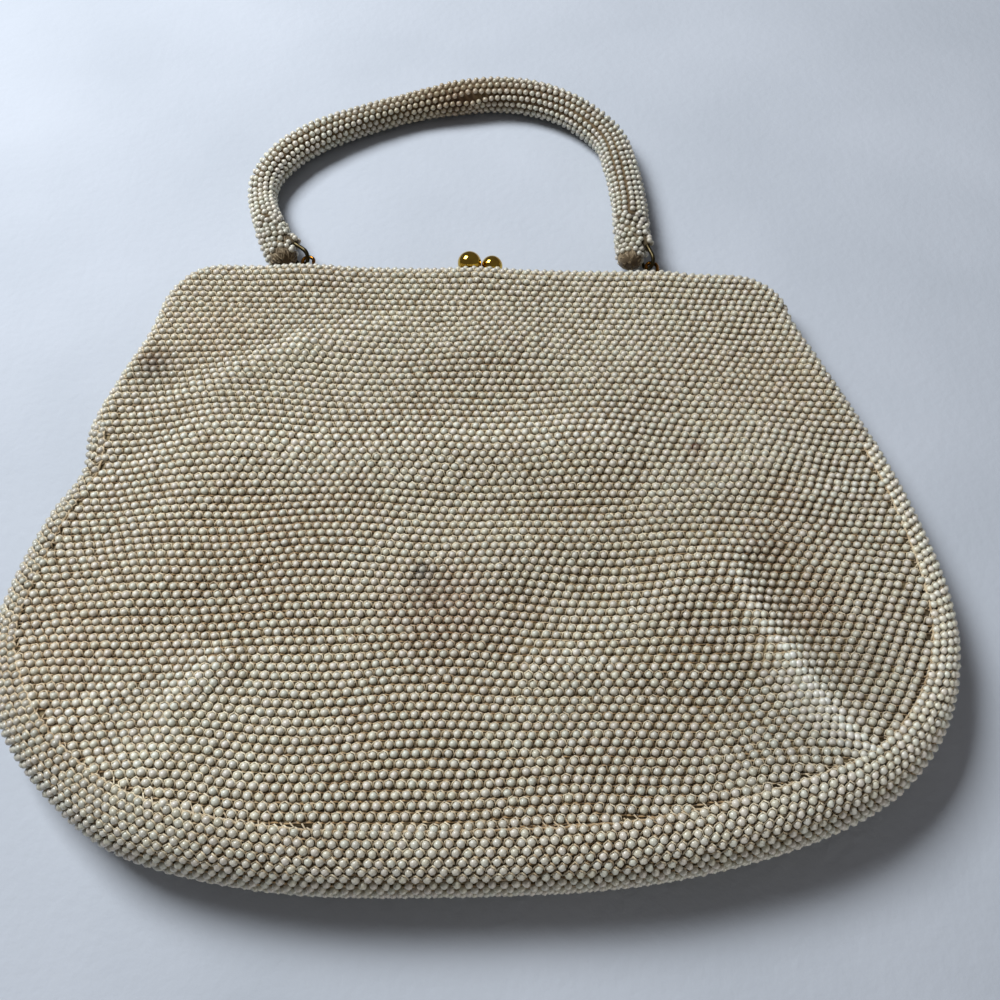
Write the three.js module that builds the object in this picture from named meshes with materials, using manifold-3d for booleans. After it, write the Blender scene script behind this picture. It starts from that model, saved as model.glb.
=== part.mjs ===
// A bead-covered evening bag lying on its back, with its handle laid out behind it. Millimetres, Z up.
// Across is along X, up the bag is along Y to the handle, and the back rests on Z = 0.
// The finished group is moved across and down so that the origin lies under the middle of the whole.
import * as THREE from "three";
import { mergeVertices } from "three/addons/utils/BufferGeometryUtils.js";
import Module from "manifold-3d";

const wasm = await Module();
wasm.setup();
const { degToRad, lerp, smoothstep } = THREE.MathUtils;

// Beaded cloth
const WALL = 2.5; // beads with the cloth that carries them
const SEAM_GAP = 0.3; // between the gusset and a panel
const GUSSET_END_GAP = 0.5; // between the gusset and the lips at a hinge
const LIP_END = degToRad(27); // a lip stops at this angle from the mouth's middle
const COLUMN_STEP = 11; // spacing of the grid along the outline
const PANEL_MIDDLE = new THREE.Vector2(0, 92); // where the front panel's rings shrink to
const FRONT_RINGS = [0.13, 0.26, 0.38, 0.49, 0.59, 0.68, 0.76, 0.83, 0.89, 0.95, 1];
const BACK_RINGS = [0.4, 0.75, 1];
const LIP_ROWS = 4;
const GUSSET_ROWS = 8;
const EDGE_REACH = 30; // how far in from the seam the edge's own height fades out

// The outermost curve, counter-clockwise from the bottom, and the radius of the half-round edge there
const OUTLINE = [
  { place: "bottom", across: -3, up: 0, edge: 11 },
  { place: "bottom right", across: 39, up: 2.8, edge: 11 },
  { place: "lower right", across: 73, up: 11.3, edge: 11 },
  { place: "right corner", across: 92, up: 21, edge: 10 },
  { place: "right flank", across: 105, up: 35, edge: 9.5 },
  { place: "right belly", across: 112.5, up: 53, edge: 8.5 },
  { place: "right side", across: 113.8, up: 70, edge: 8 },
  { place: "right waist", across: 111, up: 92, edge: 7 },
  { place: "right hinge", across: 106, up: 113, edge: 6 },
  { place: "right shoulder", across: 98, up: 135, edge: 6 },
  { place: "right neck", across: 90, up: 156, edge: 6 },
  { place: "top right, side", across: 87.3, up: 166, edge: 6 },
  { place: "top right, edge", across: 79.5, up: 173.2, edge: 6 },
  { place: "top, right part", across: 58, up: 175.2, edge: 6 },
  { place: "top, left part", across: -60, up: 178, edge: 6 },
  { place: "top left, edge", across: -83, up: 177.6, edge: 6 },
  { place: "top left, side", across: -91.5, up: 169, edge: 6 },
  { place: "left neck", across: -95.5, up: 152, edge: 6 },
  { place: "left shoulder", across: -101, up: 136, edge: 6 },
  { place: "left hinge", across: -105.3, up: 119, edge: 6 },
  { place: "left pinch", across: -104.5, up: 105, edge: 6.3 },
  { place: "left waist", across: -109, up: 93, edge: 7 },
  { place: "left side", across: -113.5, up: 73, edge: 8 },
  { place: "left belly", across: -114.6, up: 54, edge: 8.5 },
  { place: "left flank", across: -107, up: 35.5, edge: 9.5 },
  { place: "left corner", across: -93, up: 20, edge: 10 },
  { place: "lower left", across: -76, up: 8.5, edge: 11 },
  { place: "bottom left", across: -45, up: 1.2, edge: 11 },
];

// Height of the empty bag's front above the surface, away from its edge
const BODY = [
  { up: 0, height: 20.5 },
  { up: 30, height: 20 },
  { up: 60, height: 17.5 },
  { up: 95, height: 16 },
  { up: 140, height: 14.5 },
  { up: 180, height: 12 },
];

// Soft ridges (rise above 0) and dents (below 0) of the front, each along a line
const FOLDS = [
  { name: "shoulder ridge", fromX: -92, fromY: 121, toX: -50, toY: 143, width: 5.5, rise: 1.9 },
  { name: "shoulder ridge, top", fromX: -50, fromY: 143, toX: -24, toY: 154, width: 7, rise: 1.4 },
  { name: "shoulder ridge, lower", fromX: -98, fromY: 98, toX: -70, toY: 118, width: 6.5, rise: 1.8 },
  { name: "middle ridge", fromX: -60, fromY: 111, toX: 32, toY: 112, width: 9, rise: 2 },
  { name: "middle trough", fromX: -58, fromY: 95, toX: 34, toY: 92, width: 9, rise: -1.6 },
  { name: "right valley", fromX: 12, fromY: 66, toX: 76, toY: 98, width: 8, rise: -1.6 },
  { name: "slanting ridge", fromX: 14, fromY: 46, toX: 64, toY: 80, width: 6, rise: 1 },
  { name: "right ridge", fromX: 61, fromY: 70, toX: 69.5, toY: 49, width: 5, rise: 2 },
  { name: "right ridge, lower", fromX: 69.5, fromY: 49, toX: 86, toY: 26, width: 5, rise: 2.4 },
  { name: "right dent", fromX: 72, fromY: 76, toX: 88, toY: 42, width: 8, rise: -3 },
  { name: "right shoulder ridge", fromX: 80, fromY: 96, toX: 97, toY: 99, width: 5, rise: 1.2 },
  { name: "lower ridge", fromX: 13, fromY: 48.5, toX: 52, toY: 45.5, width: 4.5, rise: 1.4 },
  { name: "left flank ridge", fromX: -94, fromY: 32, toX: -80, toY: 42, width: 5, rise: 2.4 },
  { name: "left corner ridge", fromX: -68, fromY: 37, toX: -58.5, toY: 49, width: 5, rise: 2.2 },
  { name: "left corner ridge, lower", fromX: -81, fromY: 26, toX: -66, toY: 28, width: 4.5, rise: 2.4 },
];

// Frame bars: a bar's section beside the seam line, outward and away from the mouth's middle
const BAR = { inner: -0.6, outer: 2, near: 0.2, far: 2.3 };
const HINGE_BLOCK = { length: 5, taper: 0.4, gap: 0.3, middle: 0.55, inner: -0.9 };
const PIN = { shaft: 0.8, head: 1.5, headThick: 0.5, clearance: 0.3, sides: 10 };
const FRAME_METAL_OFF_MIDDLE = 0.7; // stems and lugs lie this far off the mouth's middle

// Clasp balls: place across, distance beyond the outline, height and radius
const CLASP = {
  front: { across: -4.1, beyond: 3.4, height: 6.9, radius: 3.55 },
  back: { across: 2.6, beyond: 4, height: 5.1, radius: 3.2 },
};
const STEM = { width: 2.6, thick: 1.1 };
const BALL_SIDES = 14;
const BALL_ROWS = 8;

// Handle lugs, wire arches standing out of the mouth, and the oval links that hang on them
const LUG = { radius: 1.65, wire: 0.55, sides: 6, turns: 6, reach: 3.6 };
const LUGS = {
  left: { across: -52.6, heading: 140, lean: 29, ends: "left" },
  right: { across: 50.4, heading: 108, lean: 24, ends: "right" },
};
const LINK = { radius: 2.5, wire: 0.62, straight: 8.6, sides: 6, turns: 6, hold: 0.3 };
const LINK_TUNNEL = 0.35; // clearance of a link in the handle's end

// Handle: the route of the bundle's middle from its left end, and its radius there
const ROUTE = [
  { across: -59.3, up: 180.6, height: 6.4, radius: 4.9 },
  { across: -62.8, up: 189, height: 6.6, radius: 5.5 },
  { across: -66.6, up: 198.5, height: 6.2, radius: 5 },
  { across: -69.7, up: 208.7, height: 5, radius: 4.7 },
  { across: -69.9, up: 217.4, height: 5.3, radius: 5.1 },
  { across: -65, up: 228.3, height: 5.7, radius: 5.55 },
  { across: -56, up: 237.5, height: 5.7, radius: 5.55 },
  { across: -42.6, up: 245.9, height: 5.3, radius: 5.15 },
  { across: -26.2, up: 253.1, height: 5.2, radius: 5 },
  { across: -9.6, up: 257.4, height: 5.9, radius: 5.8 },
  { across: 4.5, up: 259.1, height: 6, radius: 5.85 },
  { across: 17.7, up: 256.6, height: 6.1, radius: 6 },
  { across: 29, up: 250.4, height: 6.1, radius: 5.95 },
  { across: 36.1, up: 243.1, height: 6, radius: 5.85 },
  { across: 41.2, up: 235.3, height: 5.8, radius: 5.7 },
  { across: 43.8, up: 223.6, height: 5.9, radius: 5.75 },
  { across: 45.5, up: 207.1, height: 5.8, radius: 5.7 },
  { across: 45.5, up: 196, height: 6.2, radius: 5.9 },
  { across: 45, up: 188, height: 6.5, radius: 5.4 },
  { across: 43.6, up: 179.8, height: 6.4, radius: 4 },
];
const HANDLE = { sides: 12, steps: 38, endLength: 17, endSteps: 6, joint: 0.3, rounding: 0.6 };

const IVORY = { color: 0xcfc8b4, roughness: 0.45, metalness: 0 };
const GOLD = { color: 0xb98a2c, roughness: 0.22, metalness: 1 };
const DARK_BRASS = { color: 0x4d4226, roughness: 0.35, metalness: 1 };

// Closed solid from points and outward triangles
function solid(points, faces) {
  const geometry = new THREE.BufferGeometry();
  geometry.setAttribute(
    "position",
    new THREE.Float32BufferAttribute(points.flatMap((p) => [p.x, p.y, p.z]), 3),
  );
  geometry.setIndex(faces.flat());
  return geometry;
}

// Solid through rings of equal length, each counter-clockwise seen from the next; a looped one has no caps
function loft(rings, looped = false) {
  const count = rings[0].length;
  const spans = looped ? rings.length : rings.length - 1;
  const last = (rings.length - 1) * count;
  const faces = [];
  for (let ring = 0; ring < spans; ring++) {
    const low = ring * count;
    const high = ((ring + 1) % rings.length) * count;
    for (let i = 0; i < count; i++) {
      const j = (i + 1) % count;
      faces.push([low + i, low + j, high + j], [low + i, high + j, high + i]);
    }
  }
  for (let i = 1; i < count - 1 && !looped; i++) {
    faces.push([0, i + 1, i], [last, last + i, last + i + 1]);
  }
  return solid(rings.flat(), faces);
}

// Wall between an outer sheet and a matching inner one: both faces, joined along every free edge
function shell(outer, inner, faces) {
  const count = outer.length;
  const key = (a, b) => a * count + b;
  const edges = new Set(faces.flatMap(([a, b, c]) => [key(a, b), key(b, c), key(c, a)]));
  const walls = [];
  for (const [a, b, c] of faces) {
    for (const [p, q] of [[a, b], [b, c], [c, a]]) {
      if (!edges.has(key(q, p))) {
        walls.push([q, p, p + count], [q, p + count, q + count]);
      }
    }
  }
  const inside = faces.map(([a, b, c]) => [a + count, c + count, b + count]);
  return solid([...outer, ...inner], [...faces, ...inside, ...walls]);
}

// Ring of points about a middle, turning from side to rise
function ringAbout(middle, side, rise, radius, sides) {
  return Array.from({ length: sides }, (_, i) => {
    const angle = (2 * Math.PI * i) / sides;
    return middle
      .clone()
      .addScaledVector(side, radius * Math.cos(angle))
      .addScaledVector(rise, radius * Math.sin(angle));
  });
}

// Round wire along points of a flat path, whose plane has the given normal
function wire(path, normal, radius, sides, looped) {
  const rings = path.map((middle, i) => {
    const before = looped ? path.at(i - 1) : path[Math.max(i - 1, 0)];
    const after = looped ? path[(i + 1) % path.length] : path[Math.min(i + 1, path.length - 1)];
    const along = after.clone().sub(before).normalize();
    return ringAbout(middle, normal.clone().cross(along), normal, radius, sides);
  });
  return loft(rings, looped);
}

// Geometry, placed by a matrix, as a solid that can be joined and cut
function body(geometry, matrix = new THREE.Matrix4()) {
  const plain = geometry.clone().applyMatrix4(matrix);
  plain.deleteAttribute("normal");
  plain.deleteAttribute("uv");
  const merged = mergeVertices(plain, 1e-4);
  return new wasm.Manifold(
    new wasm.Mesh({
      numProp: 3,
      vertProperties: merged.attributes.position.array,
      triVerts: new Uint32Array(merged.index.array),
    }),
  );
}

// A joined or cut solid back as a geometry
function geometryOf(made) {
  const mesh = made.getMesh();
  const geometry = new THREE.BufferGeometry();
  const points = new Float32Array(mesh.vertProperties);
  geometry.setAttribute("position", new THREE.BufferAttribute(points, 3));
  geometry.setIndex(new THREE.BufferAttribute(new Uint32Array(mesh.triVerts), 1));
  return geometry;
}

function piece(name, geometry, finish) {
  const mesh = new THREE.Mesh(geometry, new THREE.MeshStandardMaterial(finish));
  mesh.name = name;
  return mesh;
}

// Height of the slack front at a place up the bag, on straight lines between the table's rows
function bodyHeight(up) {
  const next = Math.max(1, BODY.findIndex((row) => row.up >= up));
  const [low, high] = [BODY[next - 1], BODY[next]];
  return lerp(low.height, high.height, (up - low.up) / (high.up - low.up));
}

// Outline and its edge

const outline = new THREE.CatmullRomCurve3(
  OUTLINE.map((row) => new THREE.Vector3(row.across, row.up, row.edge)),
  true,
);

// Stations of the outline: the outermost point, its outward direction and the edge's radius
function stations() {
  const made = [];
  OUTLINE.forEach((row, i) => {
    const next = OUTLINE[(i + 1) % OUTLINE.length];
    const span = Math.hypot(next.across - row.across, next.up - row.up);
    const parts = Math.max(2, Math.round(span / COLUMN_STEP));
    for (let part = 0; part < parts; part++) {
      const t = (i + part / parts) / OUTLINE.length;
      made.push({ ...station(t), place: part === 0 ? row.place : "" });
    }
  });
  return made;
}

function station(t) {
  const point = outline.getPoint(t);
  const along = outline.getTangent(t);
  const outward = new THREE.Vector2(along.y, -along.x).normalize();
  return { outermost: new THREE.Vector2(point.x, point.y), outward, radius: point.z };
}

const columns = stations();
const rightHinge = columns.findIndex((column) => column.place === "right hinge");
const leftHinge = columns.findIndex((column) => column.place === "left hinge");
const mouth = columns.slice(rightHinge, leftHinge + 1);
const below = [...columns.slice(leftHinge), ...columns.slice(0, rightHinge + 1)];

// Seam line: the middle of the half-round edge
function seam({ outermost, outward, radius }) {
  return outermost.clone().addScaledVector(outward, -radius);
}

// Point beside the seam line, given outward and above the edge's middle height
function beside(column, out, above) {
  const middle = seam(column).addScaledVector(column.outward, out);
  return new THREE.Vector3(middle.x, middle.y, column.radius + above);
}

// Point on the half-round edge at an angle from the horizontal, sunk by a depth into the cloth
function onEdge(column, angle, depth) {
  const radius = column.radius - depth;
  return beside(column, radius * Math.cos(angle), radius * Math.sin(angle));
}

// Front panel, back panel and gusset

function foldHeight(x, y) {
  return FOLDS.reduce((sum, fold) => {
    const line = new THREE.Line3(
      new THREE.Vector3(fold.fromX, fold.fromY),
      new THREE.Vector3(fold.toX, fold.toY),
    );
    const here = new THREE.Vector3(x, y);
    const away = line.closestPointToPoint(here, true, new THREE.Vector3()).distanceTo(here);
    return sum + fold.rise * Math.exp(-((away / fold.width) ** 2));
  }, 0);
}

// Height of the front's outer face: the edge's full height at the seam, easing to the slack body inside
function frontHeight(column, x, y) {
  const inward = seam(column).distanceTo(new THREE.Vector2(x, y));
  const slack = smoothstep(inward, 0, EDGE_REACH);
  return lerp(2 * column.radius, bodyHeight(y) + foldHeight(x, y), slack);
}

// Sheet of a panel: rings that grow from the middle to the seam, then a lip over the frame at the mouth
function panel(rings, side, heightAt) {
  const count = columns.length;
  const middle = new THREE.Vector3(PANEL_MIDDLE.x, PANEL_MIDDLE.y, heightAt(columns[0], 0, PANEL_MIDDLE.y));
  const outer = [middle];
  for (const share of rings) {
    for (const column of columns) {
      const at = PANEL_MIDDLE.clone().lerp(seam(column), share);
      outer.push(new THREE.Vector3(at.x, at.y, heightAt(column, at.x, at.y)));
    }
  }
  const inner = outer.map((p) => new THREE.Vector3(p.x, p.y, p.z - side * WALL));
  for (let row = 1; row <= LIP_ROWS; row++) {
    const angle = side * lerp(Math.PI / 2, LIP_END, row / LIP_ROWS);
    outer.push(...mouth.map((column) => onEdge(column, angle, 0)));
    inner.push(...mouth.map((column) => onEdge(column, angle, WALL)));
  }

  const faces = [];
  const quad = (a, b, c, d) => faces.push([a, b, c], [a, c, d]);
  for (let i = 0; i < count; i++) {
    const j = (i + 1) % count;
    faces.push([0, 1 + i, 1 + j]);
    for (let ring = 1; ring < rings.length; ring++) {
      const low = 1 + (ring - 1) * count;
      quad(low + i, low + count + i, low + count + j, low + j);
    }
  }
  const seamRing = 1 + (rings.length - 1) * count;
  const lipStart = seamRing + count;
  const lipPoint = (row, i) =>
    row === 0 ? seamRing + rightHinge + i : lipStart + (row - 1) * mouth.length + i;
  for (let row = 0; row < LIP_ROWS; row++) {
    for (let i = 0; i < mouth.length - 1; i++) {
      quad(lipPoint(row, i), lipPoint(row + 1, i), lipPoint(row + 1, i + 1), lipPoint(row, i + 1));
    }
  }
  const facing = side > 0 ? faces : faces.map(([a, b, c]) => [a, c, b]);
  return shell(outer, inner, facing);
}

// Half-round strip below the hinges, open towards the bag's inside
function gusset() {
  const trimmed = below.map((column, i) => {
    const end = i === 0 || i === below.length - 1;
    return end ? shifted(column, below.at(i === 0 ? 1 : -2), GUSSET_END_GAP) : column;
  });
  const rows = GUSSET_ROWS + 1;
  const outer = [];
  const inner = [];
  for (const column of trimmed) {
    const sweep = Math.PI / 2 - SEAM_GAP / (column.radius - WALL);
    for (let row = 0; row < rows; row++) {
      const angle = lerp(-sweep, sweep, row / GUSSET_ROWS);
      outer.push(onEdge(column, angle, 0));
      inner.push(onEdge(column, angle, WALL));
    }
  }
  const faces = [];
  for (let i = 0; i < trimmed.length - 1; i++) {
    for (let row = 0; row < GUSSET_ROWS; row++) {
      const low = i * rows + row;
      faces.push([low, low + rows, low + rows + 1], [low, low + rows + 1, low + 1]);
    }
  }
  return shell(outer, inner, faces);
}

// A station moved towards its neighbour by a distance
function shifted(column, neighbour, distance) {
  const share = distance / column.outermost.distanceTo(neighbour.outermost);
  return { ...column, outermost: column.outermost.clone().lerp(neighbour.outermost, share) };
}

// Frame

// Bar of one side, whose ends turn into flat blocks that lie beside the other bar's at each hinge
function bar(side) {
  const half = HINGE_BLOCK.gap / 2;
  const block =
    side > 0
      ? { inner: HINGE_BLOCK.middle + half, outer: BAR.outer }
      : { inner: HINGE_BLOCK.inner, outer: HINGE_BLOCK.middle - half };
  const full = { ...BAR };
  const narrow = { ...BAR, ...block };
  const deep = { ...narrow, near: -BAR.far };
  const { length, taper } = HINGE_BLOCK;
  const ends = (first, second) => [
    [shifted(first, second, GUSSET_END_GAP), deep],
    [shifted(first, second, length), deep],
    [shifted(first, second, length + taper), narrow],
    [shifted(first, second, length + 2 * taper), full],
  ];
  const start = ends(mouth[0], mouth[1]);
  const finish = ends(mouth.at(-1), mouth.at(-2)).reverse();
  const runs = mouth.slice(1, -1).map((column) => [column, full]);
  const rings = [...start, ...runs, ...finish].map(([column, section]) => {
    const corners = [
      [section.inner, side * section.near],
      [section.outer, side * section.near],
      [section.outer, side * section.far],
      [section.inner, side * section.far],
    ];
    const ring = corners.map(([out, above]) => beside(column, out, above));
    return side > 0 ? ring.reverse() : ring;
  });
  return body(loft(rings));
}

// Place of a hinge pin, with its Y axis along the pin
function hingePlace(end, neighbour) {
  const column = shifted(end, neighbour, (GUSSET_END_GAP + HINGE_BLOCK.length) / 2);
  const along = new THREE.Vector3(column.outward.x, column.outward.y, 0);
  const turn = new THREE.Quaternion().setFromUnitVectors(new THREE.Vector3(0, 1, 0), along);
  const middle = beside(column, (HINGE_BLOCK.inner + BAR.outer) / 2, 0);
  return new THREE.Matrix4().compose(middle, turn, new THREE.Vector3(1, 1, 1));
}

const HINGES = {
  right: hingePlace(mouth[0], mouth[1]),
  left: hingePlace(mouth.at(-1), mouth.at(-2)),
};

function hingePin() {
  const grip = (BAR.outer - HINGE_BLOCK.inner) / 2 + PIN.clearance;
  const profile = [
    [0, -grip - PIN.headThick],
    [PIN.head, -grip - PIN.headThick],
    [PIN.head, -grip],
    [PIN.shaft, -grip],
    [PIN.shaft, grip],
    [PIN.head, grip],
    [PIN.head, grip + PIN.headThick],
    [0, grip + PIN.headThick],
  ];
  return new THREE.LatheGeometry(profile.map((p) => new THREE.Vector2(...p)), PIN.sides);
}

// Height up the bag of the outermost curve at a place along the mouth's top
function topAt(across) {
  const next = mouth.findIndex((column) => column.outermost.x <= across);
  const [high, low] = [mouth[next - 1].outermost, mouth[next].outermost];
  return lerp(low.y, high.y, (across - low.x) / (high.x - low.x));
}

// Height of the bars' outer face up the bag, and of the mouth's middle above the surface
const mouthRadius = mouth[0].radius;
const barTop = (across) => topAt(across) - mouthRadius + BAR.outer;
const SEAT = 0.5; // how deep stems and lugs are set into a bar

// Clasp ball on its flat stem
function claspBall(ball, side) {
  const middleUp = topAt(ball.across) + ball.beyond;
  const foot = barTop(ball.across) - SEAT;
  const stem = new THREE.BoxGeometry(STEM.width, middleUp - foot, STEM.thick);
  const stemHeight = mouthRadius + side * FRAME_METAL_OFF_MIDDLE;
  stem.translate(ball.across, (middleUp + foot) / 2, stemHeight);
  const round = new THREE.SphereGeometry(ball.radius, BALL_SIDES, BALL_ROWS);
  round.translate(ball.across, middleUp, ball.height);
  return body(stem).add(body(round));
}

// Middle of a lug's arch
function lugMiddle(lug) {
  const height = mouthRadius + FRAME_METAL_OFF_MIDDLE;
  return new THREE.Vector3(lug.across, topAt(lug.across) + LUG.reach, height);
}

// Wire arch whose two legs stand in the front bar
function lugArch(lug) {
  const middle = lugMiddle(lug);
  const foot = barTop(lug.across) - SEAT;
  const leg = (sign) => new THREE.Vector3(middle.x + sign * LUG.radius, foot, middle.z);
  const arch = Array.from({ length: LUG.turns + 1 }, (_, i) => {
    const angle = (Math.PI * i) / LUG.turns;
    return new THREE.Vector3(Math.cos(angle), Math.sin(angle), 0).multiplyScalar(LUG.radius).add(middle);
  });
  const path = [leg(1), ...arch, leg(-1)];
  return body(wire(path, new THREE.Vector3(0, 0, 1), LUG.wire, LUG.sides, false));
}

function frameBar(side) {
  const hole = new THREE.CylinderGeometry(
    PIN.shaft + PIN.clearance,
    PIN.shaft + PIN.clearance,
    4 * BAR.outer,
    PIN.sides,
  );
  const drilled = Object.values(HINGES).reduce(
    (made, place) => made.subtract(body(hole, place)),
    bar(side),
  );
  const clasped = drilled.add(claspBall(side > 0 ? CLASP.front : CLASP.back, side));
  const lugs = side > 0 ? Object.values(LUGS) : [];
  return geometryOf(lugs.reduce((made, lug) => made.add(lugArch(lug)), clasped));
}

// Links

// Oval wire ring in its own XZ plane, whose near end curves about the lug at the origin
function linkRing(wireRadius) {
  const near = LINK.hold + LINK.radius;
  const turn = (start, x) =>
    Array.from({ length: LINK.turns + 1 }, (_, i) => {
      const angle = start + (Math.PI * i) / LINK.turns;
      return new THREE.Vector3(x + LINK.radius * Math.cos(angle), 0, LINK.radius * Math.sin(angle));
    });
  const path = [...turn(-Math.PI / 2, near + LINK.straight), ...turn(Math.PI / 2, near)];
  return wire(path, new THREE.Vector3(0, -1, 0), wireRadius, LINK.sides, true);
}

// Group that holds a link where it hangs on its lug, heading for the handle's end and leaning over
function linkPlace(lug) {
  const place = new THREE.Group();
  place.position.copy(lugMiddle(lug));
  place.rotation.set(degToRad(lug.lean), 0, degToRad(lug.heading), "ZYX");
  place.updateMatrix();
  return place;
}

// Handle

const route = new THREE.CatmullRomCurve3(
  ROUTE.map((row) => new THREE.Vector3(row.across, row.up, row.height)),
);
const routeLength = route.getLength();

// Ring of the bundle at a distance along its route, drawn in by a share near a rounded end
function bundleRing(distance, share) {
  const u = distance / routeLength;
  const at = route.getUtoTmapping(u) * (ROUTE.length - 1);
  const row = Math.min(Math.floor(at), ROUTE.length - 2);
  const radius = lerp(ROUTE[row].radius, ROUTE[row + 1].radius, at - row) * share;
  const along = route.getTangentAt(u);
  const rise = new THREE.Vector3(0, 0, 1).addScaledVector(along, -along.z).normalize();
  return ringAbout(route.getPointAt(u), rise.clone().cross(along), rise, radius, HANDLE.sides);
}

// Stretch of the bundle between two distances along its route
function bundle(from, to, steps) {
  return Array.from({ length: steps + 1 }, (_, i) => bundleRing(lerp(from, to, i / steps), 1));
}

// Sewn end of the bundle, rounded off and threaded by its link
function handleEnd(lug) {
  const { endLength, endSteps, rounding } = HANDLE;
  const nearEnd = endLength / endSteps / 2;
  const atLeft = lug.ends === "left";
  const from = atLeft ? 0 : routeLength - endLength;
  const rings = bundle(from, from + endLength, endSteps);
  if (atLeft) {
    rings.splice(0, 1, bundleRing(0, rounding), bundleRing(nearEnd, 1));
  } else {
    rings.splice(-1, 1, bundleRing(routeLength - nearEnd, 1), bundleRing(routeLength, rounding));
  }
  const tunnel = body(linkRing(LINK.wire + LINK_TUNNEL), linkPlace(lug).matrix);
  return geometryOf(body(loft(rings)).subtract(tunnel));
}

// Assembly

const bag = new THREE.Group();
bag.add(
  piece("front_panel", panel(FRONT_RINGS, 1, frontHeight), IVORY),
  piece("back_panel", panel(BACK_RINGS, -1, () => 0), IVORY),
  piece("gusset", gusset(), IVORY),
  piece("frame_front", frameBar(1), GOLD),
  piece("frame_back", frameBar(-1), GOLD),
);
for (const [side, place] of Object.entries(HINGES)) {
  bag.add(piece(`hinge_pin_${side}`, hingePin().applyMatrix4(place), GOLD));
}
for (const [side, lug] of Object.entries(LUGS)) {
  const place = linkPlace(lug);
  place.add(piece(`link_${side}`, linkRing(LINK.wire), DARK_BRASS));
  bag.add(place, piece(`handle_end_${side}`, handleEnd(lug), IVORY));
}
const clear = HANDLE.endLength + HANDLE.joint;
const run = loft(bundle(clear, routeLength - clear, HANDLE.steps));
bag.add(piece("handle", run, IVORY));

const middle = new THREE.Box3().setFromObject(bag).getCenter(new THREE.Vector3());
bag.position.set(-middle.x, -middle.y, 0);

const part = new THREE.Group();
part.add(bag);

export default part;
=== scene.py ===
"""Ivory bead-covered evening bag, lying on its back with its handle laid out behind it.

Sizes are millimetres along the bag's own axes: across, up from the bottom edge towards the handle, and
height above the surface that the bag lies on. The bench carries them into the part's frame, in metres.
"""

from __future__ import annotations

import logging
import math
from dataclasses import dataclass, field, replace
from enum import Enum
from functools import cached_property, lru_cache
from typing import NamedTuple

import bpy
import numpy as np
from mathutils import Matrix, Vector
from numpy.typing import NDArray

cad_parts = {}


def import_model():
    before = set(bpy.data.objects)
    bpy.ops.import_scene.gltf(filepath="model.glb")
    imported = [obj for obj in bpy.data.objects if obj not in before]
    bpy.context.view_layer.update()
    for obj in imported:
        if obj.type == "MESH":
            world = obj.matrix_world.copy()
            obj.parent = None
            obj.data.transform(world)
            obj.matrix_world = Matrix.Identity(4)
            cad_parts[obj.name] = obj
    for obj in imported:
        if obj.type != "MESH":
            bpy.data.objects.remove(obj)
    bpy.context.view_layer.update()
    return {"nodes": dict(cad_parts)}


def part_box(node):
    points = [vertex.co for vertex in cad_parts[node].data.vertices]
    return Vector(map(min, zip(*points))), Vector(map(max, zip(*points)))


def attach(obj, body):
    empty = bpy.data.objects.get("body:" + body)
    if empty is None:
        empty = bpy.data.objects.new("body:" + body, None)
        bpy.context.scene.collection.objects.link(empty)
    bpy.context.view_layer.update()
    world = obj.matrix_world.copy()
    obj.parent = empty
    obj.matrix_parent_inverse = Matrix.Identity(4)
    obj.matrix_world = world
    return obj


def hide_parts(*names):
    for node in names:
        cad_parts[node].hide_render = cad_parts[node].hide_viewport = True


Array = NDArray[np.float64]
Whole = NDArray[np.int64]
Mask = NDArray[np.bool_]
Colour = tuple[float, float, float]
Place = tuple[float, float, float]
Span = tuple[float, float]
Rng = np.random.Generator
Socket = bpy.types.NodeSocket

log = logging.getLogger("beaded_bag")

MM = 0.001
BODY = "root"
TINT = "tint"
ROW_STEP = 2.12
UP = np.array([0.0, 0.0, 1.0])


class Slot(Enum):
    """Names of material slots, which no piece here uses."""

    CLOTH = "beaded_cloth"
    STRINGS = "beaded_strings"
    GOLD = "gold_metal"
    WIRE = "dark_brass"


class Face(Enum):
    """The two panels of the bag, by the way each one faces."""

    FRONT = 1
    BACK = -1

    @property
    def word(self) -> str:
        """The face's name in the names of pieces."""
        return self.name.lower()


class End(Enum):
    """The two ends of the handle, by the side of the bag they hang on."""

    LEFT = "left"
    RIGHT = "right"


class EdgePoint(NamedTuple):
    """A point of the outermost curve, and the radius of the half-round edge there."""

    across: float
    up: float
    edge: float


class BodyHeight(NamedTuple):
    """Height of the slack front above the surface at a distance up the bag."""

    up: float
    height: float


class Fold(NamedTuple):
    """A soft ridge, or a dent where the rise is below zero, along a straight line."""

    from_across: float
    from_up: float
    to_across: float
    to_up: float
    width: float
    rise: float


class RoutePoint(NamedTuple):
    """A point of the middle of the handle's bundle, and the bundle's radius there."""

    across: float
    up: float
    height: float
    radius: float


class Soil(NamedTuple):
    """Colour that soil multiplies thread by, and the share of it that beads take."""

    colour: Colour
    on_beads: float


class StainKind(Enum):
    """What soiled a place, or the painted shade laid on one."""

    DIRT = Soil((0.2, 0.14, 0.1), 0.42)
    RUST = Soil((0.5, 0.25, 0.12), 0.42)
    WARM = Soil((0.8, 0.62, 0.45), 0.45)
    INK = Soil((0.05, 0.055, 0.1), 0.3)
    # Brown soiling from handling, together with painted shade.
    HANDLED_AND_SHADE = Soil((0.65, 0.52, 0.36), 0.8)
    # Painted shade: a grey darkening, laid on like a stain.
    PAINTED_SHADE = Soil((0.6, 0.62, 0.66), 0.9)


class Stain(NamedTuple):
    """A soiled place or a place of painted shade, its reach, how strongly it covers, and with what."""

    across: float
    up: float
    reach: float
    cover: float
    kind: StainKind


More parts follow.
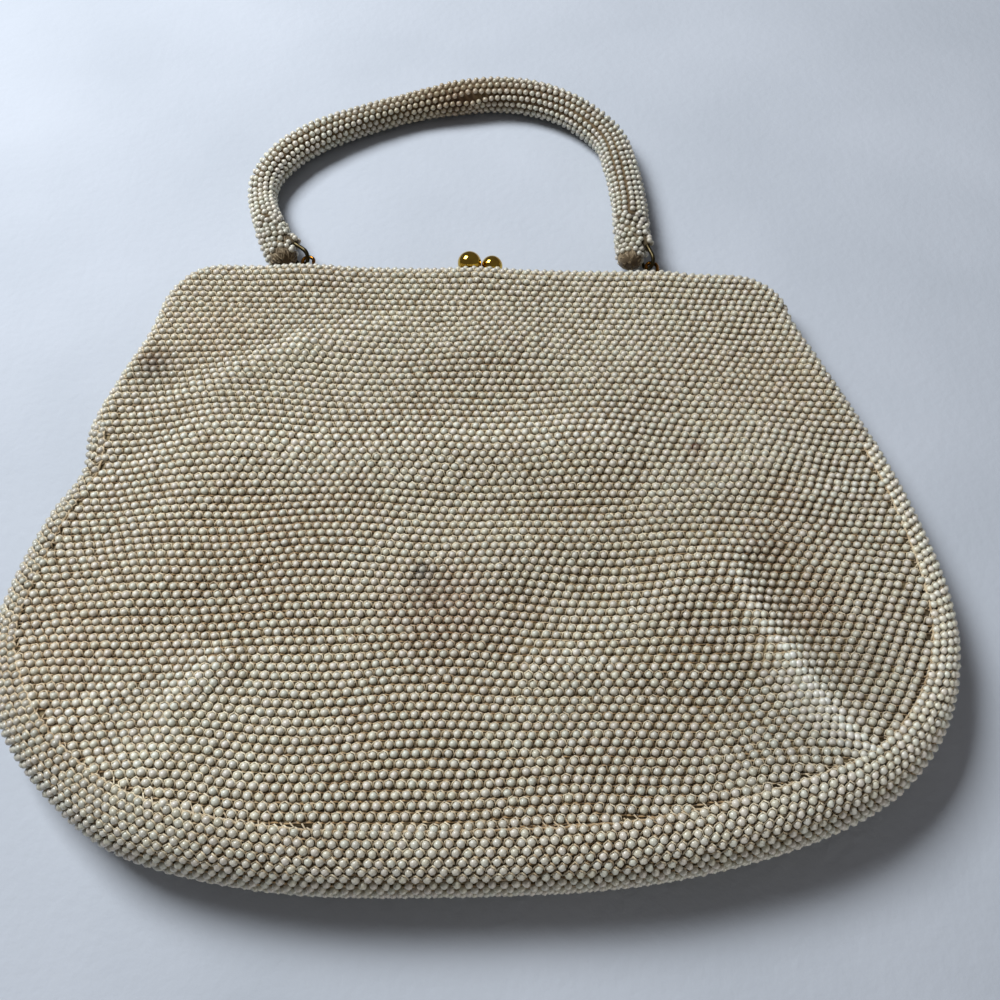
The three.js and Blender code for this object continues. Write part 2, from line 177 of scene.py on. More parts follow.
OUTLINE = tuple(
    EdgePoint(*row)
    for row in (
        (-3, 0, 11), (39, 2.8, 11), (73, 11.3, 11), (92, 21, 10),
        (105, 35, 9.5), (112.5, 53, 8.5), (113.8, 70, 8), (111, 92, 7),
        (106, 113, 6), (98, 135, 6), (90, 156, 6), (87.3, 166, 6),
        (79.5, 173.2, 6), (58, 175.2, 6), (-60, 178, 6), (-83, 177.6, 6),
        (-91.5, 169, 6), (-95.5, 152, 6), (-101, 136, 6), (-105.3, 119, 6),
        (-104.5, 105, 6.3), (-109, 93, 7), (-113.5, 73, 8), (-114.6, 54, 8.5),
        (-107, 35.5, 9.5), (-93, 20, 10), (-76, 8.5, 11), (-45, 1.2, 11),
    )
)
RIGHT_HINGE = 8
LEFT_HINGE = 19

BODY_HEIGHTS = (
    BodyHeight(0, 20.5),
    BodyHeight(30, 20),
    BodyHeight(60, 17.5),
    BodyHeight(95, 16),
    BodyHeight(140, 14.5),
    BodyHeight(180, 12),
)

FOLDS = (
    Fold(-92, 121, -50, 143, 5.5, 1.9),
    Fold(-50, 143, -24, 154, 7, 1.4),
    Fold(-98, 98, -70, 118, 6.5, 1.8),
    Fold(-60, 111, 32, 112, 9, 2),
    Fold(-58, 95, 34, 92, 9, -1.6),
    Fold(12, 66, 76, 98, 8, -1.6),
    Fold(14, 46, 64, 80, 6, 1),
    Fold(61, 70, 69.5, 49, 5, 2),
    Fold(69.5, 49, 86, 26, 5, 2.4),
    Fold(72, 76, 88, 42, 8, -3),
    Fold(80, 96, 97, 99, 5, 1.2),
    Fold(13, 48.5, 52, 45.5, 4.5, 1.4),
    Fold(-94, 32, -80, 42, 5, 2.4),
    Fold(-68, 37, -58.5, 49, 5, 2.2),
    Fold(-81, 26, -66, 28, 4.5, 2.4),
)

ROUTE = tuple(
    RoutePoint(*row)
    for row in (
        (-59.3, 180.6, 6.4, 4.9), (-62.8, 189, 6.6, 5.5), (-66.6, 198.5, 6.2, 5),
        (-69.7, 208.7, 5, 4.7), (-69.9, 217.4, 5.3, 5.1), (-65, 228.3, 5.7, 5.55),
        (-56, 237.5, 5.7, 5.55), (-42.6, 245.9, 5.3, 5.15), (-26.2, 253.1, 5.2, 5),
        (-9.6, 257.4, 5.9, 5.8), (4.5, 259.1, 6, 5.85), (17.7, 256.6, 6.1, 6),
        (29, 250.4, 6.1, 5.95), (36.1, 243.1, 6, 5.85), (41.2, 235.3, 5.8, 5.7),
        (43.8, 223.6, 5.9, 5.75), (45.5, 207.1, 5.8, 5.7), (45.5, 196, 6.2, 5.9),
        (45, 188, 6.5, 5.4), (43.6, 179.8, 6.4, 4),
    )
)

STAINS_AND_SHADE = (
    Stain(-89.7, 137.5, 5, 0.8, StainKind.DIRT),
    Stain(-91, 141, 2.5, 0.6, StainKind.RUST),
    Stain(-8.5, 63, 11.5, 0.55, StainKind.RUST),
    Stain(-11, 66, 4, 0.45, StainKind.DIRT),
    Stain(-13.4, 71.9, 2.1, 1, StainKind.INK),
    Stain(55.7, 108.7, 1.9, 1, StainKind.RUST),
    Stain(55.7, 108.7, 1.2, 0.9, StainKind.DIRT),
    Stain(70, 80, 6, 0.35, StainKind.RUST),
    Stain(79, 64, 8, 0.3, StainKind.RUST),
    Stain(87, 50, 8, 0.3, StainKind.DIRT),
    Stain(78, 133, 18, 0.35, StainKind.WARM),
    Stain(-76, 151, 16, 0.35, StainKind.WARM),
    Stain(-95, 53, 16, 0.4, StainKind.WARM),
    Stain(-60, 80, 24, 0.2, StainKind.WARM),
    Stain(46, 196, 1.8, 0.9, StainKind.INK),
    Stain(41.5, 187, 1.5, 0.8, StainKind.DIRT),
    Stain(-8, 252, 5, 0.6, StainKind.RUST),
    # The handle's top arch: brown soiling together with painted shade.
    Stain(-14, 256, 26, 0.95, StainKind.HANDLED_AND_SHADE),
    # Painted shade darkening the lower right of the front.
    Stain(68, 33, 22, 0.36, StainKind.PAINTED_SHADE),
)


def smoothstep(value: Array, low: float, high: float) -> Array:
    """Eased share of the way from low to high, 0 to 1: t squared times three less two t."""
    share = np.clip((value - low) / (high - low), 0, 1)
    return share * share * (3 - 2 * share)


def linear(red: float, green: float, blue: float) -> Colour:
    """Linear colour of a display colour whose red, green and blue run from 0 to 255."""
    shares = np.array([red, green, blue]) / 255
    return tuple(np.where(shares <= 0.04045, shares / 12.92, ((shares + 0.055) / 1.055) ** 2.4).tolist())


def unit(vectors: Array) -> Array:
    """Vectors of length 1 along the given ones."""
    return vectors / np.linalg.norm(vectors, axis=-1, keepdims=True)


def bell(away: Array) -> Array:
    """Bell curve, 1 in the middle: the exponential of minus the square."""
    return np.exp(-(away**2))


def distances(points: Array) -> Array:
    """Distance of each point of a path from its first one, summed along the path."""
    return np.concatenate([[0], np.cumsum(np.linalg.norm(np.diff(points, axis=0), axis=1))])


def raised(points: Array, least: float) -> Array:
    """Points, with those that lie lower than a least height lifted to it."""
    return np.concatenate([points[..., :2], np.maximum(points[..., 2:], least)], axis=-1)


class Wave(NamedTuple):
    """A sine of two measures, such as across and up: how far each goes in a radian, its size and phase."""

    across: float
    up: float
    size: float = 1
    phase: float = 0

    def at(self, across: Array, up: Array) -> Array:
        """The wave's values, one for each pair of measures."""
        return self.size * np.sin(across / self.across + up / self.up + self.phase)


def catmull_rom(rows: Array, at: Array, closed: bool) -> Array:
    """Points of a centripetal Catmull-Rom curve.

    Between two rows the curve is the cubic that meets both, with tangents weighted by the square roots of
    the distances to the rows before and after. An open curve mirrors its end spans for its end tangents.

    Args:
        rows: The points that the curve passes through.
        at: Places on the curve as row numbers, so that 2.5 is halfway from row 2 to row 3.
        closed: True if the last row is joined to the first.

    Returns:
        One point for each place.
    """
    if closed:
        around = np.vstack([rows[-1:], rows, rows[:2]])
        spans = len(rows)
    else:
        around = np.vstack([2 * rows[:1] - rows[1:2], rows, 2 * rows[-1:] - rows[-2:-1]])
        spans = len(rows) - 1
    first = np.clip(np.floor(at).astype(int), 0, spans - 1)
    share = (at - first)[:, None]
    before, start, stop, after = (around[first + step] for step in range(4))
    gap_in = np.sqrt(np.linalg.norm(start - before, axis=1, keepdims=True))
    gap = np.sqrt(np.linalg.norm(stop - start, axis=1, keepdims=True))
    gap_out = np.sqrt(np.linalg.norm(after - stop, axis=1, keepdims=True))
    span = stop - start
    leave = gap * (start - before) / gap_in - gap * (stop - before) / (gap_in + gap) + span
    arrive = span - gap * (after - start) / (gap + gap_out) + gap * (after - stop) / gap_out
    bend = 3 * span - 2 * leave - arrive
    twist = leave + arrive - 2 * span
    return start + share * (leave + share * (bend + share * twist))


def grid_quads(rows: int, columns: int, wrap: bool = False) -> Whole:
    """Quads of a grid of points stored row by row.

    Args:
        rows: Number of rows.
        columns: Number of points in a row.
        wrap: True if a row closes on itself.

    Returns:
        Four point numbers for each quad.
    """
    last = columns if wrap else columns - 1
    row, column = np.indices((rows - 1, last))
    low = row * columns + column
    low_next = row * columns + (column + 1) % columns
    return np.stack([low, low_next, low_next + columns, low + columns], axis=-1).reshape(-1, 4)


@dataclass(frozen=True)
class Surface:
    """Points and faces of a mesh, with a tint for each point where the finish reads one."""

    points: Array
    quads: Whole = field(default_factory=lambda: np.zeros((0, 4), int))
    triangles: Whole = field(default_factory=lambda: np.zeros((0, 3), int))
    tints: Array | None = None


def joined(*parts: Surface) -> Surface:
    """Several surfaces as one, with the point numbers of each shifted past those before it.

    Args:
        *parts: The surfaces, all with tints or all without.

    Returns:
        One surface with all their faces.
    """
    starts = np.cumsum([0] + [len(part.points) for part in parts[:-1]])
    tints = None
    if parts[0].tints is not None:
        tints = np.vstack([part.tints for part in parts])
    return Surface(
        np.vstack([part.points for part in parts]),
        np.vstack([part.quads + start for part, start in zip(parts, starts)]),
        np.vstack([part.triangles + start for part, start in zip(parts, starts)]),
        tints,
    )


def end_fans(steps: int, sides: int) -> Whole:
    """Flat fans over the first and last ring of a strand.

    Args:
        steps: Rings along the strand.
        sides: Points in a ring.

    Returns:
        Three point numbers for each triangle.
    """
    inner = np.arange(1, sides - 1)
    fan = np.stack([np.zeros_like(inner), inner, inner + 1], axis=1)
    return np.vstack([fan[:, ::-1], fan + (steps - 1) * sides])


def tubes(paths: Array, normals: Array, radii: Array | float, sides: int, looped: bool = False) -> Surface:
    """Round strands, each a regular ring of points carried along its path.

    A ring's point is the path's point plus the radius times the cosine of its angle sideways, and the
    radius times the sine along the normal. The ends are flat fans.

    Args:
        paths: Points of every path, as strands by steps by 3.
        normals: Directions to lay the rings out from, which broadcast to the paths.
        radii: Radii, which broadcast to strands by steps.
        sides: Points in a ring.
        looped: True if each path closes on itself.

    Returns:
        All the strands as one surface.
    """
    count, steps = paths.shape[:2]
    if looped:
        along = unit(np.roll(paths, -1, axis=1) - np.roll(paths, 1, axis=1))
    else:
        along = unit(np.gradient(paths, axis=1))
    normals = np.broadcast_to(normals, paths.shape)
    rise = unit(normals - along * (normals * along).sum(-1, keepdims=True))
    side = np.cross(rise, along)
    angle = 2 * np.pi * np.arange(sides) / sides
    reach = np.broadcast_to(radii, (count, steps))[..., None, None]
    ring = side[:, :, None] * np.cos(angle)[:, None] + rise[:, :, None] * np.sin(angle)[:, None]
    points = paths[:, :, None] + reach * ring
    one = grid_quads(steps, sides, wrap=True)
    if looped:
        seam = grid_quads(2, sides, wrap=True)
        one = np.vstack([one, np.where(seam < sides, seam + (steps - 1) * sides, seam - sides)])
        caps = np.zeros((0, 3), int)
    else:
        caps = end_fans(steps, sides)
    starts = np.arange(count)[:, None, None] * steps * sides
    return Surface(
        points.reshape(-1, 3),
        (one[None] + starts).reshape(-1, 4),
        (caps[None] + starts).reshape(-1, 3),
    )


def tinted(surface: Surface, tints: Array) -> Surface:
    """A surface of equal strands or of single points, with one tint for each."""
    each = len(surface.points) // len(tints)
    return replace(surface, tints=np.repeat(tints, each, axis=0))


@lru_cache
def ball(halvings: int) -> tuple[Array, Whole]:
    """Unit ball: an octahedron whose edges are halved and whose points are pushed out to the sphere.

    Args:
        halvings: How often every edge is halved.

    Returns:
        The points and the triangles.
    """
    points = np.vstack([np.eye(3), -np.eye(3)])
    top = np.array([[0, 1, 2], [1, 3, 2], [3, 4, 2], [4, 0, 2]])
    under = np.array([[1, 0, 5], [3, 1, 5], [4, 3, 5], [0, 4, 5]])
    faces = np.vstack([top, under])
    for _ in range(halvings):
        edges = np.sort(faces[:, [[0, 1], [1, 2], [2, 0]]], axis=2).reshape(-1, 2)
        pairs, which = np.unique(edges, axis=0, return_inverse=True)
        middle = (len(points) + which.reshape(-1)).reshape(-1, 3)
        points = np.vstack([points, unit(points[pairs].sum(axis=1))])
        a, b, c = faces.T
        ab, bc, ca = middle.T
        corners = [(a, ab, ca), (ab, b, bc), (ca, bc, c), (ab, bc, ca)]
        faces = np.vstack([np.stack(corner, axis=1) for corner in corners])
    return points, faces


def random_turns(rng: Rng, count: int) -> Array:
    """Evenly spread random rotations, from unit quaternions.

    Args:
        rng: Source of random numbers.
        count: How many rotations.

    Returns:
        One 3 by 3 matrix for each.
    """
    w, x, y, z = unit(rng.normal(size=(count, 4))).T
    rows = [
        [1 - 2 * (y * y + z * z), 2 * (x * y - w * z), 2 * (x * z + w * y)],
        [2 * (x * y + w * z), 1 - 2 * (x * x + z * z), 2 * (y * z - w * x)],
        [2 * (x * z - w * y), 2 * (y * z + w * x), 1 - 2 * (x * x + y * y)],
    ]
    return np.array(rows).transpose(2, 0, 1)


class Grain(NamedTuple):
    """Noise in a finish: its cells in a metre, and its octaves of finer noise."""

    scale: float
    detail: float = 3


class Stop(NamedTuple):
    """A linear colour, and its place along a ramp of colours."""

    at: float
    colour: Colour


class Relief(NamedTuple):
    """How many metres a bump of 1 stands for, and how much of it shows."""

    distance: float
    strength: float


class Graph:
    """Node graph of one material, with its shader and the object's own coordinates."""

    def __init__(self, name: str) -> None:
        """Starts an empty graph with a shader.

        Args:
            name: The material's name.
        """
        self.material = bpy.data.materials.new(name)
        self.material.use_nodes = True
        self.nodes = self.material.node_tree.nodes
        self.links = self.material.node_tree.links
        self.shader = self.nodes["Principled BSDF"]
        self.place = self.nodes.new("ShaderNodeTexCoord").outputs["Object"]

    def noise(self, grain: Grain) -> Socket:
        """Soft noise on the object's coordinates.

        Args:
            grain: How fine it is.

        Returns:
            The noise's factor.
        """
        node = self.nodes.new("ShaderNodeTexNoise")
        node.inputs["Scale"].default_value = grain.scale
        node.inputs["Detail"].default_value = grain.detail
        self.links.new(self.place, node.inputs["Vector"])
        return node.outputs[0]

    def tint(self) -> Socket:
        """Colour that the mesh carries for each point.

        Returns:
            The colour.
        """
        node = self.nodes.new("ShaderNodeAttribute")
        node.attribute_name = TINT
        return node.outputs["Color"]

    def ramp(self, factor: Socket, stops: tuple[Stop, Stop]) -> Socket:
        """Colours along a factor.

        Args:
            factor: What runs through the colours.
            stops: The two colours and their places.

        Returns:
            The colour.
        """
        node = self.nodes.new("ShaderNodeValToRGB")
        for element, stop in zip(node.color_ramp.elements, stops):
            element.position = stop.at
            element.color = (*stop.colour, 1)
        self.links.new(factor, node.inputs["Fac"])
        return node.outputs["Color"]

    def multiplied(self, first: Socket, second: Socket) -> Socket:
        """Product of two colours.

        Args:
            first: One colour.
            second: The other colour.

        Returns:
            The product.
        """
        node = self.nodes.new("ShaderNodeMix")
        node.data_type = "RGBA"
        node.blend_type = "MULTIPLY"
        node.inputs[0].default_value = 1
        self.links.new(first, node.inputs[6])
        self.links.new(second, node.inputs[7])
        return node.outputs[2]

    def ranged(self, factor: Socket, low: float, high: float) -> Socket:
        """A factor from 0 to 1 spread between two numbers.

        Args:
            factor: The factor.
            low: Value at 0.
            high: Value at 1.

        Returns:
            The spread value.
        """
        node = self.nodes.new("ShaderNodeMapRange")
        node.inputs["To Min"].default_value = low
        node.inputs["To Max"].default_value = high
        self.links.new(factor, node.inputs["Value"])
        return node.outputs["Result"]

    def bumped(self, height: Socket, relief: Relief) -> None:
        """Roughens the shader's surface by a height.

        Args:
            height: The height, from 0 to 1.
            relief: How deep it is.
        """
        node = self.nodes.new("ShaderNodeBump")
        node.inputs["Distance"].default_value = relief.distance
        node.inputs["Strength"].default_value = relief.strength
        self.links.new(height, node.inputs["Height"])
        self.links.new(node.outputs["Normal"], self.shader.inputs["Normal"])

    def set(self, socket: str, value: object) -> None:
        """Sets a socket of the shader, by a link if the value is another node's socket.

        Args:
            socket: The socket's name.
            value: A number, a colour or a socket.
        """
        if isinstance(value, Socket):
            self.links.new(value, self.shader.inputs[socket])
        else:
            self.shader.inputs[socket].default_value = value


@dataclass(frozen=True)
class Beads:
    """Finish of the opaque ivory beads: their own tints, faintly mottled, with a soft gloss."""

    name: str = "ivory_beads"
    roughness: Span = (0.22, 0.34)
    refraction: float = 1.64
    mottle: Grain = Grain(700)
    shades: tuple[Stop, Stop] = (Stop(0.25, (0.86, 0.85, 0.82)), Stop(0.75, (1.06, 1.06, 1.06)))

    def material(self) -> bpy.types.Material:
        """Builds the finish.

        Returns:
            The material.
        """
        graph = Graph(self.name)
        mottle = graph.noise(self.mottle)
        shade = graph.ramp(mottle, self.shades)
        graph.set("Base Color", graph.multiplied(graph.tint(), shade))
        graph.set("Roughness", graph.ranged(mottle, *self.roughness))
        graph.set("IOR", self.refraction)
        return graph.material


@dataclass(frozen=True)
class Thread:
    """Finish of the cotton thread between the beads: dull, fuzzy and unevenly darkened."""

    name: str = "cotton_thread"
    patch: Grain = Grain(160)
    shades: tuple[Stop, Stop] = (Stop(0.3, (0.78, 0.7, 0.6)), Stop(0.7, (1.08, 1.06, 1.02)))
    roughness: float = 0.9
    sheen: float = 0.25
    fibre: Grain = Grain(4200)
    fuzz: Relief = Relief(0.0001, 0.6)

    def material(self) -> bpy.types.Material:
        """Builds the finish.

        Returns:
            The material.
        """
        graph = Graph(self.name)
        patches = graph.ramp(graph.noise(self.patch), self.shades)
        graph.set("Base Color", graph.multiplied(graph.tint(), patches))
        graph.set("Roughness", self.roughness)
        graph.set("Sheen Weight", self.sheen)
        graph.bumped(graph.noise(self.fibre), self.fuzz)
        return graph.material


@dataclass(frozen=True)
class Ground:
    """Finish of the crocheted cloth under the beads: ribs along the rows, mottled, its brown deepened by
    painted shade.
    """

    name: str = "crochet_ground"
    row_step: float = ROW_STEP
    wave_turn: float = 20
    unevenness: float = 1.5
    age: Grain = Grain(230, 5)
    # Painted shade: both stops are darker than the cloth's own brown, as it shows only in the gaps between
    # beads.
    shades: tuple[Stop, Stop] = (Stop(0.3, linear(92, 78, 52)), Stop(0.75, linear(150, 134, 100)))
    roughness: float = 0.95
    rib: Relief = Relief(0.0004, 0.7)

    def material(self) -> bpy.types.Material:
        """Builds the finish, whose ribs are a sine of the distance up the bag, one for each row of beads.

        The wave texture turns by a fixed number of radians for each unit of its scale.

        Returns:
            The material.
        """
        graph = Graph(self.name)
        ribs = graph.nodes.new("ShaderNodeTexWave")
        ribs.bands_direction = "Y"
        ribs.inputs["Scale"].default_value = 2 * math.pi / (self.wave_turn * self.row_step * MM)
        ribs.inputs["Distortion"].default_value = self.unevenness
        graph.links.new(graph.place, ribs.inputs["Vector"])
        graph.set("Base Color", graph.ramp(graph.noise(self.age), self.shades))
        graph.set("Roughness", self.roughness)
        graph.bumped(ribs.outputs["Fac"], self.rib)
        return graph.material


@dataclass(frozen=True)
class Metal:
    """Finish of metal: two shades and roughnesses in patches, with fine marks all over."""

    name: str
    shades: tuple[Stop, Stop]
    roughness: Span
    patches: Grain
    marks: Grain
    depth: Relief

    def material(self) -> bpy.types.Material:
        """Builds the finish.

        Returns:
            The material.
        """
        graph = Graph(self.name)
        patches = graph.noise(self.patches)
        graph.set("Base Color", graph.ramp(patches, self.shades))
        graph.set("Metallic", 1)
        graph.set("Roughness", graph.ranged(patches, *self.roughness))
        graph.bumped(graph.noise(self.marks), self.depth)
        return graph.material


GOLD = Metal(
    "polished_gold",
    (Stop(0.35, (0.5, 0.3, 0.05)), Stop(0.6, (0.64, 0.42, 0.06))),
    roughness=(0.13, 0.05),
    patches=Grain(420, 6),
    marks=Grain(900, 2),
    depth=Relief(0.00003, 0.25),
)
# Painted shade: the lugs get a darker copy of the frame's gold.
SHADED_GOLD = replace(
    GOLD, name="shaded_gold", shades=(Stop(0.35, (0.2, 0.075, 0.012)), Stop(0.6, (0.4, 0.17, 0.02)))
)
BRASS = Metal(
    "dark_brass",
    (Stop(0.45, (0.045, 0.035, 0.017)), Stop(0.72, (0.1, 0.082, 0.042))),
    roughness=(0.46, 0.28),
    patches=Grain(650, 5),
    marks=Grain(2200),
    depth=Relief(0.00005, 0.4),
)


@dataclass(frozen=True)
class Floor:
    """Finish of the pale floor: a short plush nap with barely darker drifts."""

    name: str = "pale_floor"
    drift: Grain = Grain(14, 4)
    shades: tuple[Stop, Stop] = (Stop(0.3, (0.47, 0.51, 0.565)), Stop(0.7, (0.53, 0.57, 0.63)))
    roughness: float = 0.95
    nap: Grain = Grain(380, 4)
    plush: Relief = Relief(0.0006, 0.25)

    def material(self) -> bpy.types.Material:
        """Builds the finish.

        Returns:
            The material.
        """
        graph = Graph(self.name)
        graph.set("Base Color", graph.ramp(graph.noise(self.drift), self.shades))
        graph.set("Roughness", self.roughness)
        graph.bumped(graph.noise(self.nap), self.plush)
        return graph.material


Finish = Beads | Thread | Ground | Metal | Floor


@lru_cache
def material_of(finish: Finish) -> bpy.types.Material:
    """The finish's only material, made when it is first asked for."""
    return finish.material()


@dataclass(frozen=True)
class Stations:
    """Places along the outline: the seam's points, the outward directions and the edge's radii."""

    seam: Array
    outward: Array
    radius: Array

    @property
    def outermost(self) -> Array:
        """Points of the outermost curve."""
        return self.seam + self.outward * self.radius[:, None]

    def on_edge(self, angle: Array, depth: float) -> Array:
        """Points of the half-round edge.

        The seam's point is moved outward by the sunk radius times the cosine of the angle, and its height
        is the edge's radius plus the sunk radius times the sine.

        Args:
            angle: Angles above the horizontal, which broadcast to rows by stations.
            depth: How far under the outer face.

        Returns:
            Points, as rows by stations by 3.
        """
        reach = self.radius - depth
        out = np.asarray(reach * np.cos(angle))[..., None]
        flat = self.seam + self.outward * out
        height = np.broadcast_to(self.radius + reach * np.sin(angle), flat.shape[:-1])
        return np.concatenate([flat, height[..., None]], axis=-1)


@dataclass(frozen=True)
class Outline:
    """The bag's outermost curve and its half-round edge."""

    rows: tuple[EdgePoint, ...] = OUTLINE
    fineness: int = 45
    nudge: float = 0.01
    lower_run: float = 40
    at_once: int = 1500

    def stations(self, at: Array) -> Stations:
        """Places of the outline.

        Args:
            at: Row numbers, with shares between rows.

        Returns:
            The stations there.
        """
        rows = np.array(self.rows, float)
        at = np.asarray(at) % len(rows)
        here = catmull_rom(rows, at, closed=True)
        ahead = catmull_rom(rows, (at + self.nudge) % len(rows), closed=True)
        behind = catmull_rom(rows, (at - self.nudge) % len(rows), closed=True)
        along = unit((ahead - behind)[:, :2])
        outward = np.column_stack([along[:, 1], -along[:, 0]])
        return Stations(here[:, :2] - outward * here[:, 2:], outward, here[:, 2])

    @cached_property
    def fine(self) -> Stations:
        """Closely spaced stations all the way round."""
        return self.stations(np.arange(len(self.rows) * self.fineness) / self.fineness)

    def evenly(self, start: float, stop: float, step: float) -> Stations:
        """Stations at even distances along the outermost curve.

        Args:
            start: Row number to start at.
            stop: Row number to stop at, which may be past the last row.
            step: Distance wanted between them.

        Returns:
            The stations, the two ends among them.
        """
        at = np.linspace(start, stop, int((stop - start) * self.fineness) + 1)
        run = distances(self.stations(at).outermost)
        count = max(2, round(run[-1] / step) + 1)
        return self.stations(np.interp(np.linspace(0, run[-1], count), run, at))

    def mouth(self, step: float) -> Stations:
        """Stations of the mouth, from the right hinge over the top to the left one."""
        return self.evenly(RIGHT_HINGE, LEFT_HINGE, step)

    def below(self, step: float) -> Stations:
        """Stations below the hinges, from the left hinge round the bottom to the right one."""
        return self.evenly(LEFT_HINGE, RIGHT_HINGE + len(self.rows), step)

    def nearest(self, flat: Array) -> tuple[Whole, Array]:
        """Nearest fine station of flat points, found for a block of them at once.

        Args:
            flat: Points, across and up.

        Returns:
            The stations' numbers, and the distances out past the seam, below zero inside it.
        """
        seam = self.fine.seam
        blocks = np.array_split(flat, 1 + len(flat) // self.at_once)
        picked = [((block[:, None] - seam) ** 2).sum(2).argmin(1) for block in blocks]
        index = np.concatenate(picked)
        return index, ((flat - seam[index]) * self.fine.outward[index]).sum(1)

    def at_mouth(self, index: Whole) -> Mask:
        """True for fine stations between the hinges over the top."""
        return (index >= RIGHT_HINGE * self.fineness) & (index <= LEFT_HINGE * self.fineness)

    def top_at(self, across: float) -> float:
        """How far up the outermost curve's top lies at a place across."""
        points = self.mouth(1).outermost[::-1]
        return float(np.interp(across, points[:, 0], points[:, 1]))

    def bottom_at(self, across: Array) -> Array:
        """How far up the seam's lower run is.

        Args:
            across: Places across.

        Returns:
            One distance up for each place.
        """
        low = self.fine.seam[self.fine.seam[:, 1] < self.lower_run]
        low = low[np.argsort(low[:, 0])]
        return np.interp(across, low[:, 0], low[:, 1])

    def seam_area(self) -> float:
        """Area inside the seam line, in square millimetres, by the sum of its points' cross products."""
        across, up = self.fine.seam.T
        return float(abs((across * np.roll(up, -1) - up * np.roll(across, -1)).sum()) / 2)


class Crease(NamedTuple):
    """A sharp crease up a bent line of places, where beads crowd together, with a painted highlight along
    it.
    """

    line: tuple[tuple[float, float], ...]
    width: float
    height: float
    low_ease: Span = (-2, 4)
    high_ease: float = 25
    ridge_pull: float = 0.9
    ridge_ease: float = 1.8
    ridge_reach: float = 20
    flank_pull: float = 1.2
    flank_ease: float = 4
    flank_reach: float = 25
    flank_away: float = 7

    def beside(self, flat: Array) -> Array:
        """Distances across from the crease, positive on its right."""
        across, up = np.array(self.line, float).T
        return flat[:, 0] - np.interp(flat[:, 1], up, across)

    def along(self, flat: Array) -> Array:
        """Share of the crease's full height, which eases in from its ends.

        Args:
            flat: Points, across and up.

        Returns:
            The shares, from 0 to 1.
        """
        low, high = self.line[0][1], self.line[-1][1]
        rising = smoothstep(flat[:, 1], low + self.low_ease[0], low + self.low_ease[1])
        return rising * smoothstep(-flat[:, 1], -high, -high + self.high_ease)

    def nearness(self, flat: Array, reach: float) -> Array:
        """Bell curve of the distance across, times the share along."""
        return bell(self.beside(flat) / reach) * self.along(flat)

    def crowding(self, flat: Array) -> Array:
        """How far beads are drawn to the right: towards the ridge from both sides, and up its left flank.

        The ridge's pull is a hyperbolic tangent of the distance, times the nearness. The flank's is one
        less a hyperbolic tangent, faded by a bell curve further out.

        Args:
            flat: Points, across and up.

        Returns:
            Distances, below zero to the left.
        """
        beside = self.beside(flat)
        past = beside + self.flank_away
        fade = bell(np.minimum(past, 0) / self.flank_reach)
        flank = (1 - np.tanh(past / self.flank_ease)) * fade * self.along(flat)
        ridge = self.ridge_pull * np.tanh(beside / self.ridge_ease)
        return self.flank_pull * flank - ridge * self.nearness(flat, self.ridge_reach)


class Wear(NamedTuple):
    """Painted light on the front's beads: highlights on crests and the crease, shade in valleys, light at
    the lower left; where and how much.
    """

    crest_width: float = 0.5
    crest_top: float = 2.4
    valley_floor: float = -2
    on_crest: float = 0.12
    on_crease: float = 0.14
    in_valley: float = 0.05
    at_lower_left: float = 0.15
    left: Span = (-40, 50)
    lower: Span = (-130, -95)


